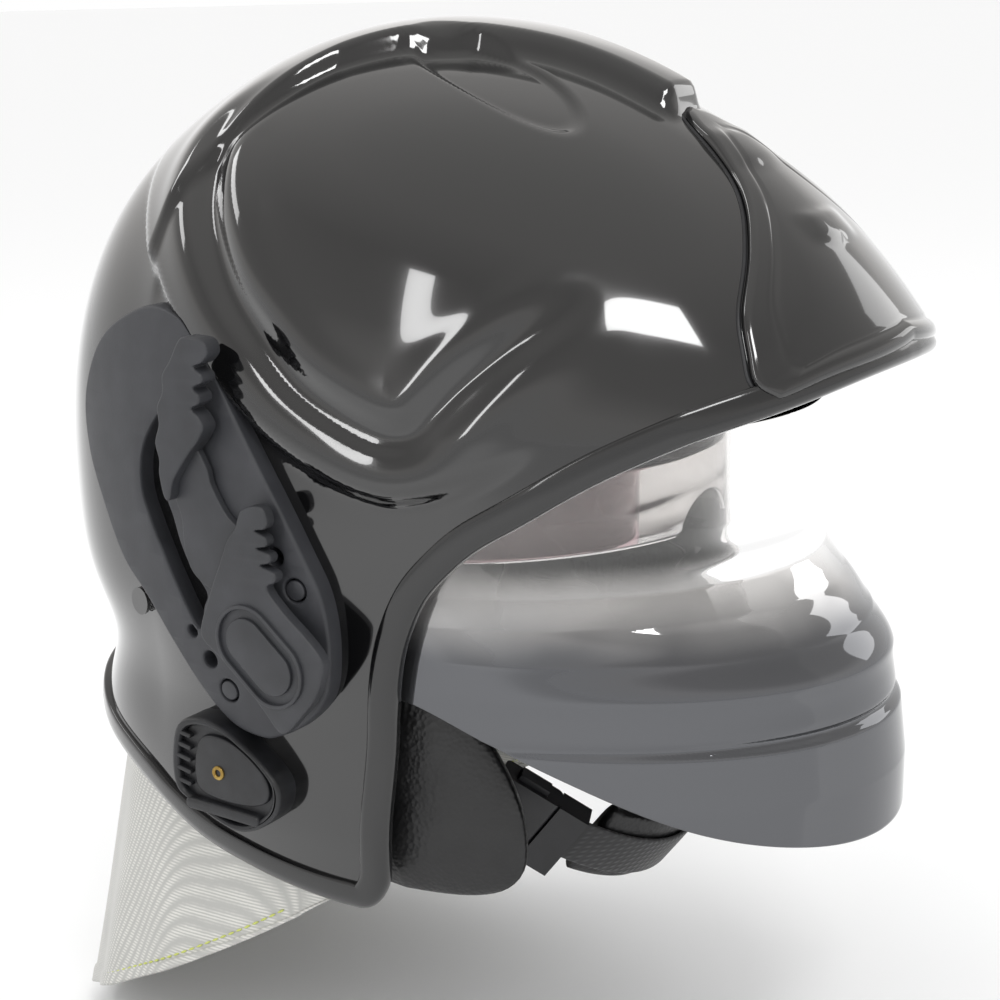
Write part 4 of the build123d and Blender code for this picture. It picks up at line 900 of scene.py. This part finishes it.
def sectionPlace(turn, level):
    # level section of the shell's inside, as far in as the curtain hangs
    front = np.sin(turn) < 0
    power = 2 / roundness(front)
    reach = np.where(front, curtain["inset"] - shell["brimReach"], rearReach(level, -curtain["inset"]))
    across = np.sign(np.cos(turn)) * sideWidth(level, -curtain["inset"]) * np.abs(np.cos(turn)) ** power
    return across, reach * np.abs(np.sin(turn)) ** power


def curtainPoint(turn, share, up=0.0):
    # place on the cloth's middle, from its upper edge at share 0 to its hem at 1, or a distance above the hem
    base = sectionPlace(turn, np.full_like(turn, recess["floor"]))[1]
    edge = np.interp(base, rearRim[:, 0], rearRim[:, 1])
    x = sectionPlace(turn, edge - curtain["tuck"] / 2)[0]
    y = sectionPlace(turn, edge + 3 * curtain["tuck"] / 2)[1]
    back = np.maximum(np.sin(turn), 0.0)
    size = 0.62 + 0.38 * np.sin(3 * turn + 0.6)
    fold = curtain["fold"] * size * np.cos(2 * curtain["folds"] * turn + 0.25 * np.sin(5 * turn))
    lean = (curtain["flare"] + fold) * back
    lean = lean / (curtain["front"] + curtain["drop"] * back ** curtain["dropShare"])
    hem = np.full_like(turn, -150.0)
    for _ in range(40):
        hemY = y + lean * (edge + curtain["tuck"] / 2 - hem) * np.sin(turn)
        hem = 0.5 * hem + 0.5 * np.interp(hemY, hemCurve[:, 0], hemCurve[:, 1])
    top = edge + curtain["tuck"]
    level = top + (hem + up - top) * share
    sag = curtain["sag"] * np.sin(math.pi * share) * back * np.sin(7 * turn + 2 * share)
    out = lean * (edge + curtain["tuck"] / 2 - level) + sag
    return np.stack([x + out * np.cos(turn), y + out * np.sin(turn), level], axis=-1)


turns = np.linspace(curtain["start"], math.pi - curtain["start"], curtain["columns"])
turnGrid, shareGrid = np.meshgrid(turns, np.linspace(0, 1, curtain["rows"]))
clothMiddle = curtainPoint(turnGrid, shareGrid)
clothNormals = gridNormals(clothMiddle)
clothNormals = clothNormals * np.sign(np.sum(clothNormals * (clothMiddle * (1, 1, 0)), axis=-1, keepdims=True))
hemThick = 1 + curtain["hemSwell"] * rise((shareGrid - curtain["hemStart"]) / curtain["hemRun"])[..., None]
half = clothNormals * (curtain["thickness"] / 2 * hemThick)
cloth = makePiece("napeCurtain", thickGrid(clothMiddle + half, clothMiddle - half), foilCloth, "nape_curtain")


def stitchRow(points, normals):
    # short raised stitches along a line on a surface
    steps = walked(points)
    length, gap, radius = curtain["stitch"]
    hexagon = roundedProfile(radius, radius, 6)
    swell = np.array((0.35, 1.0, 1.0, 0.35))[:, None]
    stitches = []
    for start in np.arange(gap, steps[-1] - length, length + gap):
        middle = sample(steps, points, np.linspace(start, start + length, 4))
        normal = unit(sample(steps, normals, start))
        side = np.cross(normal, unit(middle[-1] - middle[0]))
        stitches.append(sweep(middle, side * swell, normal * swell, hexagon))
    return joined(stitches)


keep = np.sin(turns) > 0.02
stitchLine = curtainPoint(turns, np.ones_like(turns), curtain["stitchUp"])[keep]
stitchNormals = clothNormals[-5][keep]
for name, side in (("Outside", 1), ("Inside", -1)):
    line = stitchLine + stitchNormals * side * (curtain["thickness"] / 2 + curtain["stitchLift"])
    makePiece("hemStitches" + name, stitchRow(line, stitchNormals), hemThread, slot="curtain_silver")
print("curtain made")

# Soft pads: cushions crowned on their free side; a seam is given by its place, run and depth
pads = {"rings": 15, "crownPower": 3.2, "edgeShare": 0.35, "seam": (0.0, 1.6, 1.6)}


def cushion(name, outline, middle, toPoint, thickness, replaced, seams):
    # a closed cushion on an outline: crowned on its free side and flat where it lies on its carrier
    count, middle = len(outline), np.array(middle)
    scales = np.sin(np.linspace(0, math.pi / 2, pads["rings"]))[1:]
    points, faces, edge = [], [], pads["edgeShare"]
    for free in (True, False):
        points.append(toPoint(middle, thickness if free else 0.0))
        for scale in scales:
            crown = (1 - scale ** pads["crownPower"]) ** 0.5
            depth = thickness * (edge + (1 - edge) * crown) if free else thickness * edge * (1 - crown)
            for place in middle + (outline - middle) * scale:
                dip = sum(waves(seam(place), (pads["seam"],)) for seam in seams) if free else 0.0
                points.append(toPoint(place, depth - dip * crown))
    half = 1 + len(scales) * count
    for base in (0, half):
        side = [(base, base + 1 + index, base + 1 + (index + 1) % count) for index in range(count)]
        side += [face[::-1] for face in gridFaces(len(scales), count, base + 1, wrapColumns=True)]
        faces += [face[::-1] for face in side] if base else side
    last = half - count
    for index in range(count):
        right = (index + 1) % count
        faces.append((last + right, last + index, half + last + index, half + last + right))
    makePiece(name, (points, faces), blackLeather, replaced)


cheek = {"width": 120.0, "height": 86.0, "middle": (-22.0, -63.0), "thickness": 19.0,
         "backFrom": (-86.0, 86.6), "backTo": (-40.0, 98.2), "seamLevel": -62.0, "seamSlope": 0.25,
         "seamBack": -24.0}
cheekShares = ((-0.07, 0.5), (-0.28, 0.38), (-0.42, 0.13), (-0.5, -0.15), (-0.48, -0.41), (-0.3, -0.5),
               (0.1, -0.44), (0.43, -0.24), (0.5, 0.1), (0.32, 0.43))
cheekOutline = closedCurve([(cheek["middle"][0] + cheek["width"] * y, cheek["middle"][1] + cheek["height"] * z)
                            for y, z in cheekShares], 120)


def cheekSeam(place):
    # distance above the seam that runs along the pad and rises backward
    return place[1] - cheek["seamLevel"] - cheek["seamSlope"] * (place[0] - cheek["middle"][0])


for side, suffix in ((-1, "Right"), (1, "Left")):
    def toCheek(place, depth, side=side):
        # the flat side follows the shell towards its front edge
        back = np.interp(place[0], *zip(cheek["backFrom"], cheek["backTo"]))
        return np.array([side * (back - depth), place[0], place[1]])

    cushion("cheekPad" + suffix, cheekOutline, cheek["middle"], toCheek, cheek["thickness"],
            "cheek_pad_" + suffix.lower(), (cheekSeam, lambda place: place[0] - cheek["seamBack"]))

neck = {"middle": (0.0, -31.0), "thickness": 13.0, "inset": 4.8, "gap": 0.6, "press": 0.92, "seam": 20.0}
neckOutline = closedCurve(((-62, -31), (-60, -46), (-40, -49.5), (0, -50), (40, -49.5), (60, -46), (62, -31),
                           (60, -16), (40, -12.5), (0, -12), (-40, -12.5), (-60, -16)), 120)


def toNeck(place, depth):
    x, z = place
    share = (1 - abs(x / sideWidth(z, -neck["inset"])) ** shell["backRound"]) ** (1 / shell["backRound"])
    return np.array([x, rearReach(z, -neck["inset"]) * share - neck["gap"] - depth * neck["press"], z])


cushion("neckPad", neckOutline, neck["middle"], toNeck, neck["thickness"], "neck_pad",
        (lambda place: place[0] - neck["seam"], lambda place: place[0] + neck["seam"]))

cavity = {"middle": (3.0, 24.0), "axes": (82.0, 100.0, 112.0)}
crown = {"radius": 46.0, "gap": 2.4, "thickness": 6.0}


def toCrown(place, depth):
    ax, ay, az = (axis - crown["gap"] - depth for axis in cavity["axes"])
    x, y = place[0], place[1] - cavity["middle"][0]
    height = az * math.sqrt(max(1 - (x / ax) ** 2 - (y / ay) ** 2, 0))
    return np.array([x, place[1], cavity["middle"][1] + height])


cushion("crownPad", closedCurve(disc((0, cavity["middle"][0]), crown["radius"], 16), 96),
        (0.0, cavity["middle"][0]), toCrown, crown["thickness"], "crown_pad",
        (lambda place: place[0], lambda place: place[1] - cavity["middle"][0]))
print("pads made")


def arc(angles, centre, first, second, growth):
    # part of an ellipse given by its two half axes and grown by a margin, with its outward directions
    c, s = np.cos(angles), np.sin(angles)
    a, b = np.linalg.norm(first), np.linalg.norm(second)
    line = np.outer(c * (1 + growth / a), first) + np.outer(s * (1 + growth / b), second) + np.array(centre)
    return line, unit(np.outer(c / a**2, first) + np.outer(s / b**2, second))


def degrees(start, end, count=90):
    return np.radians(np.linspace(start, end, count))


def tilted(angle, back, up):
    # direction in side view, turned by an angle from back and up
    c, s = math.cos(math.radians(angle)), math.sin(math.radians(angle))
    return np.array((0.0, back * c + up * s, up * c - back * s))


def webbing(width, thickness):
    # flat webbing with rounded selvedges
    return roundedProfile(width / 2, thickness / 2, 20, 0.12)


# Band, chin strap and cradle: profiles are half width, half thickness, points and the two roundings
band = {"halfWidth": 79.0, "halfLength": 95.0, "centre": np.array((0.0, 3.0, 34.0)), "tilt": 13.0,
        "inset": 3.9, "endShare": -25 / 90, "columns": 140, "profile": (10, 2.0, 28, 0.35, 0.7)}
startTurn = math.asin(band["endShare"])
ring, _ = arc(startTurn - (math.pi + 2 * startTurn) * np.linspace(0, 1, band["columns"]), band["centre"],
              (band["halfWidth"], 0, 0), tilted(band["tilt"], band["halfLength"], 0), -band["inset"])
sweatShape = sweep(ring, tilted(band["tilt"], 0, 1), unit(ring - band["centre"]),
                   roundedProfile(*band["profile"]))
makePiece("sweatBand", sweatShape, blackLeather, "sweatband")

strap = {"anchor": (0.0, 30.0, -13.0), "halfWidth": 77.5, "drop": 161.0, "slope": -39.0,
         "right": (0.5, 37), "left": (56, 179.5), "webbing": (20, 1.8), "growth": -0.9,
         "tail": (21.5, 34.6, 30), "tailWebbing": (18.2, 1.7), "tailGrowth": 1.25,
         "pad": (64.5, 115.5, 70), "padProfile": (17, 4.0, 32, 0.45, 0.7), "padGrowth": -6.2}


def strapPiece(name, angles, growth, profile, material, node):
    line, out = arc(degrees(*angles), strap["anchor"], (-strap["halfWidth"], 0, 0),
                    tilted(strap["slope"], -strap["drop"], 0), growth)
    return makePiece(name, sweep(line, tilted(strap["slope"], 0, -1), out, profile), material, node)


for suffix in ("Right", "Left"):
    strapPiece("chinStrap" + suffix, strap[suffix.lower()], strap["growth"], webbing(*strap["webbing"]),
               blackWebbing, "chin_strap_" + suffix.lower())
strapPiece("strapTail", strap["tail"], strap["tailGrowth"], webbing(*strap["tailWebbing"]), blackWebbing,
           "strap_tail")
strapPiece("chinPad", strap["pad"], strap["padGrowth"], roundedProfile(*strap["padProfile"]),
                     blackLeather, "chin_pad")

cradle = {"gap": 1.1, "acrossFrom": 9.5, "alongFrom": 2.6, "end": 170.5, "crossing": 0.05, "webbing": (22, 1.3)}
ax, ay, az = (axis - cradle["gap"] for axis in cavity["axes"])
bands = []
for start, across, along, drop in ((cradle["acrossFrom"], (0, 1, 0), (ax, 0, 0), 0.0),
                                   (cradle["alongFrom"], (1, 0, 0), (0, ay, 0), cradle["crossing"])):
    line, out = arc(degrees(start, cradle["end"]), (0, *cavity["middle"]), along, (0, 0, az), 0.0)
    bands.append(sweep(line - (0, 0, drop), np.array(across), out, webbing(*cradle["webbing"])))
makePiece("cradle", joined(bands), blackWebbing, "cradle_straps")
print("webbing made")

# Studio: pale floor, soft white surroundings that look grey-banded in reflections, and four lamps
studio = {"floorSize": 60.0, "floorColour": "#FAFAFA", "floorGap": 0.0005, "skyTop": (0.85, 0.84, 0.82, 1),
          "skyBands": ((0.3, 1.0), (0.45, 0.7), (0.7, 0.62), (0.86, 0.8)), "skyTint": (1.0, 0.98, 0.96)}
size, lowest = studio["floorSize"], cadBox[0][2] - studio["floorGap"]
floorPaint, floorParts = newMaterial("matt white paint, rolled", studio["floorColour"], 0.9)
addGrain(floorParts, 2.0, 0.02)
floor = newObject("floor", [(x * size, y * size, lowest) for x, y in ((-1, -1), (1, -1), (1, 1), (-1, 1))],
                  [(0, 1, 2, 3)], floorPaint)

world = bpy.data.worlds.new("studio")
bpy.context.scene.world = world
world.use_nodes = True
worldTree = world.node_tree
background = worldTree.nodes["Background"]
direction = addNode(worldTree, "TexCoord").outputs["Generated"]
upShare = addNode(worldTree, "SeparateXYZ", None, {0: direction}).outputs["Z"]
sky = addNode(worldTree, "ValToRGB", None, {"Fac": upShare})
stops = sky.color_ramp.elements
stops[0].position, stops[0].color = 0.0, (1, 1, 1, 1)
stops[1].position, stops[1].color = 1.0, studio["skyTop"]
for position, level in studio["skyBands"]:
    stops.new(position).color = (*(level * tint for tint in studio["skyTint"]), 1)
glossy = addNode(worldTree, "LightPath").outputs["Is Glossy Ray"]
shown = addNode(worldTree, "Mix", {6: (1, 1, 1, 1)}, {0: glossy, 7: sky.outputs[0]}, data_type="RGBA")
worldTree.links.new(shown.outputs[2], background.inputs["Color"])
background.inputs["Strength"].default_value = 1.0

lamps = {
    "key": {"place": (-0.9, -1.1, 1.5), "size": (0.6, 0.3), "power": 8},
    "fill": {"place": (1.6, -0.9, 0.8), "size": (0.7, 0.7), "power": 2.5},
    "back": {"place": (-0.4, 1.5, 1.3), "size": (1.0, 0.3), "power": 4},
    "strip": {"place": (-1.3, 0.1, 0.7), "size": (0.12, 0.8), "power": 2.5},
}
for name, values in lamps.items():
    lampData = bpy.data.lights.new(name, "AREA")
    lampData.shape = "RECTANGLE"
    lampData.size, lampData.size_y = values["size"]
    lampData.energy = values["power"]
    lamp = bpy.data.objects.new(name, lampData)
    lamp.location = values["place"]
    lamp.rotation_euler = (-Vector(values["place"])).to_track_quat("-Z", "Y").to_euler()
    bpy.context.scene.collection.objects.link(lamp)
bpy.context.scene.view_settings.view_transform = "Standard"
print("studio made")
